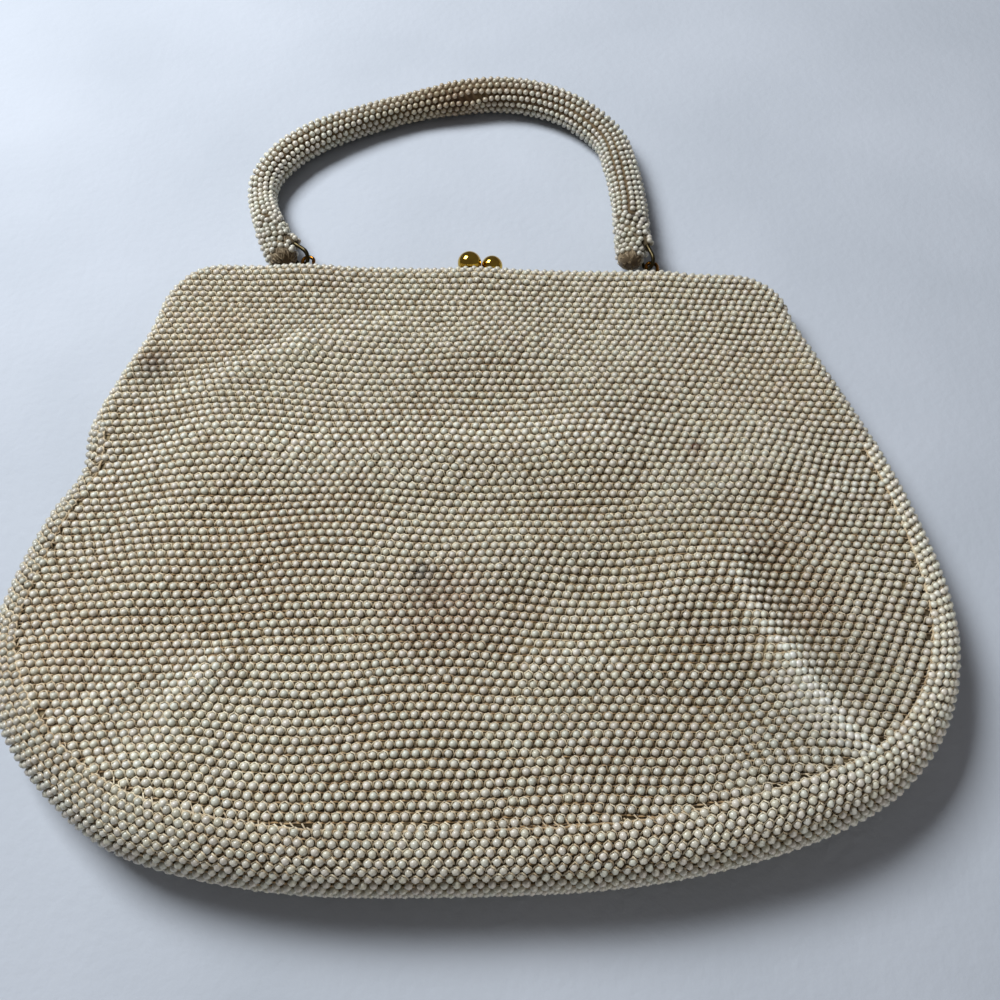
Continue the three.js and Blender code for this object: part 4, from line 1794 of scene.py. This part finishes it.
@dataclass
class ClaspFrame:
    """The two hinged bars inside the lips, with the snap clasp's balls and the handle's lugs."""

    outline: Outline
    balls: dict[Face, ClaspBall] = field(
        default_factory=lambda: {
            Face.FRONT: ClaspBall(-4.1, 3.4, 6.9, 3.55),
            Face.BACK: ClaspBall(2.6, 4, 5.1, 3.2),
        }
    )
    lugs: dict[End, Lug] = field(
        default_factory=lambda: {End.LEFT: Lug(-52.6, 140, 29), End.RIGHT: Lug(50.4, 108, 24)}
    )
    mouth_radius: float = 6
    bar_inner: float = -0.6
    bar_outer: float = 2
    bar_near: float = 0.2
    bar_far: float = 2.3
    block_length: float = 5
    block_taper: float = 0.4
    block_split: float = 0.55
    block_inner: float = -0.9
    end_gap: float = 0.5
    hinge_gap: float = 0.3
    off_middle: float = 0.7
    seat: float = 0.5
    bar_step: float = 0.8
    stem_width: float = 2.6
    stem_thick: float = 1.1
    stem_room: float = 1.1
    stem_power: float = 0.4
    stem_sides: int = 16
    stem_steps: int = 4
    ball_halvings: int = 5
    ball_line: float = 0.01
    lug_radius: float = 1.65
    lug_wire: float = 0.55
    lug_reach: float = 3.6
    lug_sides: int = 12
    arch_steps: int = 17
    leg_steps: int = 5
    leg_top: float = 0.2
    bead_gap: float = 0.85

    def foot(self, across: float) -> float:
        """How far up a stem or lug starts, inside the bar."""
        return self.outline.top_at(across) - self.mouth_radius + self.bar_outer - self.seat

    def ball_middle(self, face: Face) -> Array:
        """Middle of a clasp ball."""
        clasp = self.balls[face]
        return np.array([clasp.across, self.outline.top_at(clasp.across) + clasp.beyond, clasp.height])

    def lug_middle(self, end: End) -> Array:
        """Middle of a lug's arch.

        Args:
            end: The handle's end that hangs on it.

        Returns:
            The point.
        """
        across = self.lugs[end].across
        up = self.outline.top_at(across) + self.lug_reach
        return np.array([across, up, self.mouth_radius + self.off_middle])

    def keep_out(self) -> list[Capsule]:
        """Lines of the metal that comes out of the mouth, with room for a bead beside them.

        Returns:
            Two capsules for each ball, its stem's among them, and two for each lug.
        """
        capsules = []
        for face, clasp in self.balls.items():
            middle = self.ball_middle(face)
            height = self.mouth_radius + face.value * self.off_middle
            foot = np.array([clasp.across, self.foot(clasp.across), height])
            tip = np.array([clasp.across, middle[1], height])
            capsules.append(Capsule(foot, tip, self.stem_room + self.bead_gap))
            beside = np.array([clasp.across + self.ball_line, middle[1], clasp.height])
            capsules.append(Capsule(middle, beside, clasp.radius + self.bead_gap))
        for end, lug in self.lugs.items():
            middle = self.lug_middle(end)
            for across in (lug.across - self.lug_radius, lug.across + self.lug_radius):
                foot = np.array([across, self.foot(lug.across), middle[2]])
                tip = np.array([across, middle[1], middle[2]])
                capsules.append(Capsule(foot, tip, self.lug_wire + self.bead_gap))
        return capsules

    def bar(self, face: Face) -> Surface:
        """One bar: a rectangle carried along the mouth, whose ends turn into flat hinge blocks.

        Args:
            face: The side of the mouth it lies on.

        Returns:
            The bar.
        """
        side = face.value
        stations = self.outline.mouth(self.bar_step)
        run = distances(stations.outermost)
        kept = (run > self.end_gap) & (run < run[-1] - self.end_gap)
        stations = Stations(stations.seam[kept], stations.outward[kept], stations.radius[kept])
        from_end = np.minimum(run, run[-1] - run)[kept]
        half = self.hinge_gap / 2
        block = (self.block_inner, self.block_split - half)
        if face is Face.FRONT:
            block = (self.block_split + half, self.bar_outer)
        taper = self.block_length + self.block_taper * np.arange(3)
        inner = np.interp(from_end, taper[1:], [block[0], self.bar_inner])
        outer = np.interp(from_end, taper[1:], [block[1], self.bar_outer])
        near = np.interp(from_end, taper[:2], [-self.bar_far, self.bar_near])
        far = np.full(len(from_end), self.bar_far)
        out = np.stack([inner, outer, outer, inner], axis=1)
        above = np.stack([near, near, far, far], axis=1) * side
        flat = stations.seam[:, None] + stations.outward[:, None] * out[..., None]
        height = stations.radius[:, None] + above
        rings = np.concatenate([flat, height[..., None]], axis=2)
        if face is Face.FRONT:
            rings = rings[:, ::-1]
        count = len(rings)
        last = (count - 1) * 4
        caps = np.array([[3, 2, 1, 0], [last, last + 1, last + 2, last + 3]])
        return Surface(rings.reshape(-1, 3), np.vstack([grid_quads(count, 4, wrap=True), caps]))

    def stem(self, face: Face) -> Surface:
        """Flat stem from the bar into its ball: a rectangle with rounded edges carried up.

        The rectangle is a circle whose cosines and sines are raised to a power below 1.

        Args:
            face: The side of the mouth.

        Returns:
            The stem.
        """
        across = self.balls[face].across
        height = self.mouth_radius + face.value * self.off_middle
        angle = np.linspace(0, 2 * np.pi, self.stem_sides, endpoint=False)
        circle = np.stack([np.cos(angle), np.sin(angle)])
        wide, thick = np.sign(circle) * np.abs(circle) ** self.stem_power
        wide = across + wide * self.stem_width / 2
        ring = np.column_stack([wide, 0 * angle, height - thick * self.stem_thick / 2])
        ups = np.linspace(self.foot(across), float(self.ball_middle(face)[1]), self.stem_steps)
        rings = ring + ups[:, None, None] * (0, 1, 0)
        quads = grid_quads(self.stem_steps, self.stem_sides, wrap=True)
        return Surface(rings.reshape(-1, 3), quads, end_fans(self.stem_steps, self.stem_sides))

    def clasp_ball(self, face: Face) -> Surface:
        """Smooth ball of the snap clasp."""
        points, faces = ball(self.ball_halvings)
        return Surface(self.ball_middle(face) + points * self.balls[face].radius, triangles=faces)

    def lug(self, end: End) -> Surface:
        """Wire arch: two legs in the bar, joined by half a circle.

        Args:
            end: The handle's end that hangs on it.

        Returns:
            The lug.
        """
        middle = self.lug_middle(end)
        angle = np.linspace(0, np.pi, self.arch_steps)
        arch = middle + self.lug_radius * np.column_stack([np.cos(angle), np.sin(angle), 0 * angle])
        down = np.array([0, self.foot(self.lugs[end].across) - middle[1], 0])
        share = np.linspace(1, self.leg_top, self.leg_steps)[:, None]
        path = np.vstack([arch[0] + down * share, arch, arch[-1] + down * share[::-1]])
        return tubes(path[None], UP, self.lug_wire, self.lug_sides)

    def build(self, bench: Bench, nodes: dict[str, bpy.types.Object]) -> None:
        """Makes the metal of the frame, and finishes the hinge pins.

        Args:
            bench: Where the pieces are made.
            nodes: The solids of the frame.
        """
        for face in Face:
            parts = [self.bar(face), self.stem(face), self.clasp_ball(face)]
            name = f"frame_{face.word}"
            bench.piece(f"{name}_metal", joined(*parts), GOLD, (name,))
        bench.piece("frame_front_lugs", joined(*(self.lug(end) for end in End)), SHADED_GOLD)
        for end in End:
            pin = nodes[f"hinge_pin_{end.value}"]
            pin.data.materials.clear()
            pin.data.materials.append(material_of(GOLD))
            log.info("hinge_pin_%s: finished", end.value)


class Fray(NamedTuple):
    """Loose thread ends: their number, reach, lengths and slants, how deep they lie, and their colours."""

    count: int = 120
    start: float = 0.3
    reach: float = 3.2
    length: Span = (1.2, 2.6)
    slant: float = 0.7
    steps: int = 5
    radius: float = 0.2
    sides: int = 4
    turn_radius: float = 4
    least_inward: float = 0.05
    least_height: float = 0.3
    lift: float = 0.3
    dip: float = 0.35
    tip_dip: float = 1.5
    near_tip: Span = (-1.6, 0)
    raw: Colour = linear(104, 88, 62)
    pale: Colour = linear(172, 158, 132)


class Parting(NamedTuple):
    """Where two strands of the handle have opened: its place across and round, its push and its reach."""

    across: float = -5
    angle: float = 2.6
    push: float = 0.2
    length: float = 4
    width: float = 0.6


@dataclass
class Handle:
    """The thick bundle of bead strings, its sewn ends and the wire links that thread them."""

    frame: ClaspFrame
    soiling: Soiling
    seed: int = 31
    route_steps: int = 3000
    top_stretch: tuple[int, int] = (800, 1800)
    parting: Parting = Parting()
    strands: int = 14
    pitch: float = 2.3
    string_shift: float = 0.12
    bead_shift: float = 0.08
    string_room: float = 0.6
    string_sway: Wave = Wave(13, 1 / 2.1, 0.02)
    twist: Wave = Wave(41, math.inf, 0.25)
    looseness: Wave = Wave(9, 1 / 1.7, 0.14)
    loose_spread: float = 0.07
    loose_limits: Span = (-0.1, 0.35)
    bead_sink: float = 0.05
    off_floor: float = 0.06
    # Painted light: how much brighter the beads are on the handle's left.
    painted_light_left: float = 0.22
    left: Span = (40, 60)
    joint: float = 0.3
    core_depth: float = 1.3
    core_sides: int = 20
    core_rings: int = 150
    core_tan: float = 0.7
    # Painted shade: the core shows only in the gaps between strings, so its thread is darkened.
    core_painted_shade: Colour = (0.24, 0.2, 0.13)
    end_length: float = 17
    tip: tuple[tuple[float, float], ...] = ((0, 0.32), (0.35, 0.66), (0.9, 0.86), (1.7, 0.96))
    tip_end: float = 2.8
    tip_rings: int = 12
    tip_swell: float = 0.35
    tip_swelling: Span = (-5, -2)
    end_tan: float = 0.65
    end_shade: Colour = (0.3, 0.28, 0.24)
    raw_thread: Colour = linear(98, 84, 62)
    bare_tip: float = 3.2
    bare_ease: Span = (-2.5, 1)
    end_beads: int = 108
    cluster_middle: float = 9
    cluster_shake: float = 0.5
    cluster_over_tip: float = 1.2
    cluster_depth: float = 0.2
    cluster_limits: Span = (-0.3, 0.5)
    cluster_room: float = 0.4
    spread_rounds: int = 40
    spread_apart: float = 2.2
    spread_self: float = 9
    link_radius: float = 2.5
    link_wire: float = 0.62
    link_straight: float = 8.6
    link_hold: float = 0.3
    link_sides: int = 12
    link_steps: int = 25
    link_room: float = 0.75
    link_skip: int = 4
    sewn_from: float = 6.6
    sewn_apart: float = 1.62
    sewn_rings: int = 4
    sewn_beads: int = 5
    sewn_pitch: float = 2.1
    sewn_step: float = 1.95
    sewn_shift: float = 0.15
    wrap_radius: float = 1
    wrap_steps: int = 9
    wrap_sides: int = 8
    wrap_thread: Colour = linear(96, 84, 60)
    fray: Fray = Fray()

    def __post_init__(self) -> None:
        """Measures the route and sets up the handle's own random numbers."""
        self.rng = np.random.default_rng(self.seed)
        rows = np.array(ROUTE, float)
        at = np.linspace(0, len(rows) - 1, self.route_steps)
        self.line = catmull_rom(rows[:, :3], at, closed=False)
        self.radii = np.interp(at, np.arange(len(rows)), rows[:, 3])
        self.run = distances(self.line)
        self.length = float(self.run[-1])

    def sample(self, distance: Array) -> tuple[Array, Array, Array, Array]:
        """The bundle at distances along its route.

        Args:
            distance: The distances.

        Returns:
            Middles, sideways directions, upward directions and radii.
        """
        middle = np.column_stack([np.interp(distance, self.run, axis) for axis in self.line.T])
        slope = np.gradient(self.line, axis=0)
        along = unit(np.column_stack([np.interp(distance, self.run, axis) for axis in slope.T]))
        rise = unit(UP - along * along[:, 2:])
        return middle, np.cross(rise, along), rise, np.interp(distance, self.run, self.radii)

    def around(self, distance: Array, angle: Array, depth: Array) -> tuple[Array, Array]:
        """Points under the bundle's outer face.

        A point is the middle plus the sunk radius times the cosine of the angle sideways and its sine up.

        Args:
            distance: Distances along the route.
            angle: Angles round the bundle.
            depth: How far under the outer face.

        Returns:
            The points, and the ways they face.
        """
        middle, side, rise, radius = self.sample(distance)
        facing = side * np.cos(angle)[:, None] + rise * np.sin(angle)[:, None]
        return middle + facing * (radius - depth)[:, None], facing

    def parted(self, distance: Array, angle: Array) -> Array:
        """Angles pushed apart where two strands have opened and show the thread between them.

        The push is a bell curve along the route times one round the bundle.

        Args:
            distance: Distances along the route.
            angle: Angles round the bundle.

        Returns:
            The pushed angles.
        """
        parting = self.parting
        top = slice(*self.top_stretch)
        at = float(np.interp(parting.across, self.line[top, 0], self.run[top]))
        apart = (angle - parting.angle + math.pi) % (2 * math.pi) - math.pi
        push = parting.push * bell((distance - at) / parting.length) * bell(apart / parting.width)
        return angle + push * np.sign(apart)

    def strings(self) -> BeadField:
        """Beads of the lengthwise strings, nested by half a pitch from string to string.

        Returns:
            The beads.
        """
        start = self.end_length + self.joint + BEAD.radius
        stop = self.length - start
        count = round((stop - start) / self.pitch)
        pitch = (stop - start) / (count - 0.5)
        string, bead = np.indices((self.strands, count)).reshape(2, -1)
        shift = self.rng.normal(0, self.string_shift, self.strands)[string]
        distance = start + pitch * (bead + 0.5 * (string % 2)) + shift
        distance = distance + self.rng.normal(0, self.bead_shift, len(string))
        distance = np.clip(distance, start - self.string_room, stop + self.string_room)
        sway = self.string_sway.at(distance, string) + self.twist.at(distance, string)
        angle = self.parted(distance, 2 * np.pi * string / self.strands + sway)
        loose = self.looseness.at(distance, string) + self.rng.normal(0, self.loose_spread, len(string))
        depth = BEAD.radius + self.bead_sink + np.clip(loose, *self.loose_limits)
        middles, facing = self.around(distance, angle, depth)
        middles = raised(middles, BEAD.radius + self.off_floor)
        # Painted light: brighter beads on the handle's left.
        painted_light_factor = 1 + self.painted_light_left * smoothstep(-middles[:, 0], *self.left)
        return BeadField(middles, facing, self.soiling.beads(middles[:, :2], self.rng) * painted_light_factor[:, None])

    def core(self) -> Surface:
        """Thread inside the bundle: a round ring carried along the route from one sewn end to the other.

        Returns:
            The core, tinted.
        """
        start = self.end_length + self.joint
        middle, _, rise, radius = self.sample(np.linspace(start, self.length - start, self.core_rings))
        bundle = tubes(middle[None], rise[None], radius[None] - self.core_depth, self.core_sides)
        tints = self.soiling.threads(bundle.points[:, :2], self.rng, self.core_tan)
        # Painted shade darkens the core's thread, seen only in the gaps between strings.
        return tinted(bundle, tints * self.core_painted_shade)

    def from_end(self, end: End, distance: Array) -> Array:
        """Distances along the route, counted from one end."""
        return distance if end is End.LEFT else self.length - distance

    def end_core(self, end: End) -> Surface:
        """Sewn end: the core drawn in and rounded at its tip, in raw brown thread.

        Args:
            end: Which end.

        Returns:
            The core, tinted.
        """
        tip_inward, tip_share = np.array(self.tip).T
        inward = np.concatenate([tip_inward, np.linspace(self.tip_end, self.end_length, self.tip_rings)])
        drawn = np.concatenate([tip_share, np.ones(self.tip_rings)])
        distance = self.from_end(end, inward)
        order = np.argsort(distance)
        middle, _, rise, radius = self.sample(distance[order])
        inward = inward[order]
        swell = self.tip_swell * smoothstep(-inward, *self.tip_swelling)
        sunk = drawn[order] * (radius - self.core_depth + swell)
        core = tubes(middle[None], rise[None], sunk[None], self.core_sides)
        low, high = (ease - self.bare_tip for ease in self.bare_ease)
        brown = smoothstep(-np.repeat(inward, self.core_sides), low, high)[:, None]
        clean = self.soiling.threads(core.points[:, :2], self.rng, self.end_tan) * self.end_shade
        return tinted(core, clean * (1 - brown) + np.array(self.raw_thread) * brown)

    def spread(self, places: Array, girth: float, low: float, high: float) -> Array:
        """Places on an unrolled tube, pushed apart until neighbours stand clear of each other.

        In each round every pair that is too close moves apart by half of what is missing.

        Args:
            places: Distances along, and round the tube.
            girth: Length of the way round.
            low: Least distance along.
            high: Greatest distance along.

        Returns:
            The spread places.
        """
        for _ in range(self.spread_rounds):
            gap = places[:, None] - places[None]
            gap[..., 1] -= girth * np.round(gap[..., 1] / girth)
            far = np.linalg.norm(gap, axis=2) + np.eye(len(places)) * self.spread_self
            missing = np.clip(self.spread_apart * BEAD.radius - far, 0, None)
            places = places + 0.5 * (gap * (missing / far)[..., None]).sum(axis=1)
            places[:, 0] = np.clip(places[:, 0], low, high)
        return places

    def end_cluster(self, end: End) -> BeadField:
        """Beads sewn over an end without order: a spiral of golden-angle turns, shaken and spread.

        Args:
            end: Which end.

        Returns:
            The beads, clear of the link, and those sewn over it.
        """
        number = np.arange(self.end_beads)
        golden = math.pi * (3 - math.sqrt(5))
        inward = self.bare_tip + (self.end_length - self.bare_tip) * (number + 0.5) / self.end_beads
        halfway = self.from_end(end, np.array([self.cluster_middle]))
        radius = float(self.sample(halfway)[3][0]) - BEAD.radius
        places = np.column_stack([inward, golden * number * radius])
        places = places + self.rng.normal(0, self.cluster_shake, places.shape)
        nearest = self.bare_tip - self.cluster_over_tip
        places = self.spread(places, 2 * math.pi * radius, nearest, self.end_length)
        sink = np.clip(self.rng.normal(0, self.cluster_depth, len(number)), *self.cluster_limits)
        distance = self.from_end(end, places[:, 0])
        distance = np.clip(distance, self.cluster_room, self.length - self.cluster_room)
        middles, facing = self.around(distance, places[:, 1] / radius, BEAD.radius + sink)
        middles = raised(middles, BEAD.radius + self.off_floor)
        path = self.link_path(end)[:: self.link_skip]
        room = self.link_wire + self.link_room
        wires = [Capsule(start, stop, room) for start, stop in zip(path, np.roll(path, -1, axis=0))]
        keep = clear_of(middles, wires)
        over, over_facing = self.sewn_over(end)
        middles = np.vstack([middles[keep], over])
        facing = np.vstack([facing[keep], over_facing])
        return BeadField(middles, facing, self.soiling.beads(middles[:, :2], self.rng))

    def sewn_over(self, end: End) -> tuple[Array, Array]:
        """Beads that hold a link's far end to the bundle, in rings over the wire's outer side.

        Round the wire's flat oval a ring goes a quarter turn over its top, straight down its outer side
        and a quarter turn under it, always the same distance from the wire.

        Args:
            end: Which end.

        Returns:
            The beads' middles, and the ways they face.
        """
        quarter = self.sewn_apart * math.pi / 2
        flat = 2 * self.link_radius
        ring, bead = np.indices((self.sewn_rings, self.sewn_beads)).reshape(2, -1)
        run = (bead + 0.5 * (ring % 2)) * self.sewn_pitch
        run = run + self.rng.normal(0, self.sewn_shift, ring.size)
        turned = np.clip(run, 0, quarter) + np.clip(run - quarter - flat, 0, quarter)
        turn = turned / self.sewn_apart
        level = self.link_radius - np.clip(run - quarter, 0, flat)
        ahead = self.link_hold + self.sewn_from + self.sewn_step * ring
        ahead = ahead + self.rng.normal(0, self.sewn_shift, ring.size)
        facing = np.column_stack([0 * turn, -np.sin(turn), np.cos(turn)])
        local = np.column_stack([ahead, 0 * level, level]) + self.sewn_apart * facing
        middles = raised(self.by_link(end, local), BEAD.radius + self.off_floor)
        return middles, facing @ self.link_turn(end).T

    def wrapping(self, end: End) -> Surface:
        """Dark thread wound round a link's far end, under the beads there: a thick tube along the wire.

        Args:
            end: Which end.

        Returns:
            The thread, tinted.
        """
        far = self.link_hold + self.link_radius + self.link_straight
        bend = np.linspace(-np.pi / 2, np.pi / 2, self.wrap_steps)
        ahead = np.concatenate([[self.sewn_from], far + self.link_radius * np.cos(bend), [self.sewn_from]])
        level = np.concatenate([[-self.link_radius], self.link_radius * np.sin(bend), [self.link_radius]])
        path = self.by_link(end, np.column_stack([ahead, 0 * ahead, level]))
        sideways = self.link_turn(end) @ np.array([0, -1.0, 0])
        wound = tubes(path[None], sideways, self.wrap_radius, self.wrap_sides)
        return tinted(wound, np.array([self.wrap_thread]))

    def frayed(self, end: End) -> Surface:
        """Loose thread ends at the tip and between the beads of an end: short curved strands.

        A strand goes from minus its length to its length along a slant. It dips by the square of that
        share, and deeper at the very tip.

        Args:
            end: Which end.

        Returns:
            The strands, tinted.
        """
        fray = self.fray
        inward = np.abs(self.rng.normal(0, fray.reach, fray.count)) + fray.start
        angle = self.rng.uniform(0, 2 * np.pi, fray.count)
        length = self.rng.uniform(*fray.length, fray.count)
        slant = self.rng.normal(0, fray.slant, fray.count)
        points = []
        for step in np.linspace(-1, 1, fray.steps):
            ahead = np.clip(inward + step * length * np.cos(slant), fray.least_inward, self.end_length)
            turned = angle + step * length * np.sin(slant) / fray.turn_radius
            near_tip = smoothstep(-ahead, *fray.near_tip)
            depth = self.core_depth - fray.lift + fray.dip * step * step + fray.tip_dip * near_tip
            points.append(self.around(self.from_end(end, ahead), turned, depth)[0])
        paths = raised(np.stack(points, axis=1), fray.least_height)
        _, facing = self.around(self.from_end(end, inward), angle, np.zeros(fray.count))
        strands = tubes(paths, facing[:, None], fray.radius, fray.sides)
        pale = self.rng.uniform(0, 1, (fray.count, 1))
        return tinted(strands, np.array(fray.raw) * (1 - pale) + np.array(fray.pale) * pale)

    def link_path(self, end: End) -> Array:
        """Middle line of a link: an oval in its own plane, leaned over and headed from its lug.

        Args:
            end: Which end's link.

        Returns:
            Points round the oval.
        """
        near = self.link_hold + self.link_radius
        bend = np.linspace(-np.pi / 2, np.pi / 2, self.link_steps)
        far_x = near + self.link_straight + self.link_radius * np.cos(bend)
        near_x = near + self.link_radius * np.cos(bend + np.pi)
        ahead = np.concatenate([far_x, near_x])
        rise = self.link_radius * np.sin(bend)
        oval = np.column_stack([ahead, 0 * ahead, np.concatenate([rise, -rise])])
        return self.by_link(end, oval)

    def by_link(self, end: End, local: Array) -> Array:
        """Places given in a link's own axes, carried to its lug."""
        return self.frame.lug_middle(end) + local @ self.link_turn(end).T

    def link_turn(self, end: End) -> Array:
        """Rotation of a link: leaned about its own length, then headed about the vertical.

        Args:
            end: Which end's link.

        Returns:
            A 3 by 3 matrix.
        """
        lug = self.frame.lugs[end]
        lean, heading = math.radians(lug.lean), math.radians(lug.heading)
        over, rise = math.cos(lean), math.sin(lean)
        across, up = math.cos(heading), math.sin(heading)
        tip = np.array([[1, 0, 0], [0, over, -rise], [0, rise, over]])
        head = np.array([[across, -up, 0], [up, across, 0], [0, 0, 1]])
        return head @ tip

    def link(self, end: End) -> Surface:
        """Wire link as a closed ring."""
        sideways = self.link_turn(end) @ np.array([0, -1.0, 0])
        return tubes(self.link_path(end)[None], sideways, self.link_wire, self.link_sides, looped=True)

    def build(self, bench: Bench) -> None:
        """Makes the handle's pieces.

        Args:
            bench: Where they are made.
        """
        bench.piece("handle_core", self.core(), Thread(), ("handle",))
        bench.piece("handle_beads", BEAD.cloud(self.strings(), self.rng), Beads())
        for end in End:
            word = end.value
            sewn = joined(self.end_core(end), self.frayed(end), self.wrapping(end))
            bench.piece(f"handle_end_{word}_core", sewn, Thread(), (f"handle_end_{word}",))
            cluster = BEAD.cloud(self.end_cluster(end), self.rng)
            bench.piece(f"handle_end_{word}_beads", cluster, Beads())
            bench.piece(f"link_{word}_wire", self.link(end), BRASS, (f"link_{word}",))


class SoftLight(NamedTuple):
    """An area light: its place and aim in metres, its width and height, its power and colour."""

    name: str
    place: Place
    aim: Place
    width: float
    height: float
    power: float
    colour: Colour


@dataclass(frozen=True)
class Studio:
    """Pale floor, soft light and the camera at the photograph's angle."""

    camera_place: Place = (5.6, -170.2, 232.5)
    camera_aim: Place = (5.6, -30.5, 0)
    lens: float = 36.72
    sensor: float = 36
    clip_start: float = 0.01
    floor_half: float = 3
    floor_drop: float = 0.05
    lights: tuple[SoftLight, ...] = (
        SoftLight("window", (-0.42, 0.3, 0.66), (0, 0, 0), 0.38, 0.36, 9.3, (0.93, 0.957, 0.99)),
        SoftLight("room", (0.45, -0.85, 0.08), (0.03, -0.12, 0.012), 0.7, 0.14, 1.6, (1, 0.97, 0.93)),
    )
    world: Colour = (1, 0.955, 0.985)
    world_strength: float = 0.13

    @staticmethod
    def aimed(data: bpy.types.Camera | bpy.types.Light, place: Vector, toward: Vector) -> bpy.types.Object:
        """Puts a camera or a light into the scene.

        Args:
            data: The camera or light.
            place: Where it stands.
            toward: Which way it looks.

        Returns:
            Its object.
        """
        made = bpy.data.objects.new(data.name, data)
        made.location = place
        made.rotation_euler = toward.to_track_quat("-Z", "Y").to_euler()
        bpy.context.scene.collection.objects.link(made)
        return made

    def camera(self) -> None:
        """Makes the camera, which looks from its place to its aim."""
        data = bpy.data.cameras.new("camera")
        data.lens = self.lens
        data.sensor_width = self.sensor
        data.clip_start = self.clip_start
        place = Vector(self.camera_place)
        bpy.context.scene.camera = self.aimed(data, place * MM, Vector(self.camera_aim) - place)

    def light(self, wanted: SoftLight) -> None:
        """Makes one area light.

        Args:
            wanted: The light.
        """
        data = bpy.data.lights.new(wanted.name, "AREA")
        data.shape = "RECTANGLE"
        data.size = wanted.width
        data.size_y = wanted.height
        data.energy = wanted.power
        data.color = wanted.colour
        place = Vector(wanted.place)
        self.aimed(data, place, Vector(wanted.aim) - place)

    def floor(self, bench: Bench) -> None:
        """Makes the floor, just under the bag.

        Args:
            bench: Where it is made.
        """
        half = self.floor_half / MM
        corners = np.array([[-half, -half], [half, -half], [half, half], [-half, half]])
        points = np.column_stack([corners, np.full(len(corners), -self.floor_drop)])
        made = bench.mesh_object("floor", Surface(points, np.array([[0, 1, 2, 3]])))
        made.data.materials.append(material_of(Floor()))

    def build(self, bench: Bench) -> None:
        """Makes the surroundings.

        Args:
            bench: Where the floor is made.
        """
        self.camera()
        for wanted in self.lights:
            self.light(wanted)
        self.floor(bench)
        scene = bpy.context.scene
        scene.world = bpy.data.worlds.new("room")
        scene.world.use_nodes = True
        sky = scene.world.node_tree.nodes["Background"]
        sky.inputs["Color"].default_value = (*self.world, 1)
        sky.inputs["Strength"].default_value = self.world_strength
        scene.view_settings.view_transform = "Standard"


def main() -> None:
    """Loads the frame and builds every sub-assembly round it."""
    logging.basicConfig(level=logging.INFO, format="%(name)s: %(message)s")
    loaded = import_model()
    outline = Outline()
    bench = Bench(outline)
    soiling = Soiling()
    Studio().build(bench)
    frame = ClaspFrame(outline)
    metal = frame.keep_out()
    BeadedPanel(outline, soiling, Face.FRONT, metal, seed=11).build(bench)
    BeadedPanel(outline, Soiling(stains_and_shade=()), Face.BACK, metal, seed=12).build(bench)
    Gusset(outline, soiling).build(bench)
    frame.build(bench, loaded["nodes"])
    Handle(frame, soiling).build(bench)
    log.info("all pieces: %d triangles", bench.triangles)


if __name__ == "__main__":
    main()
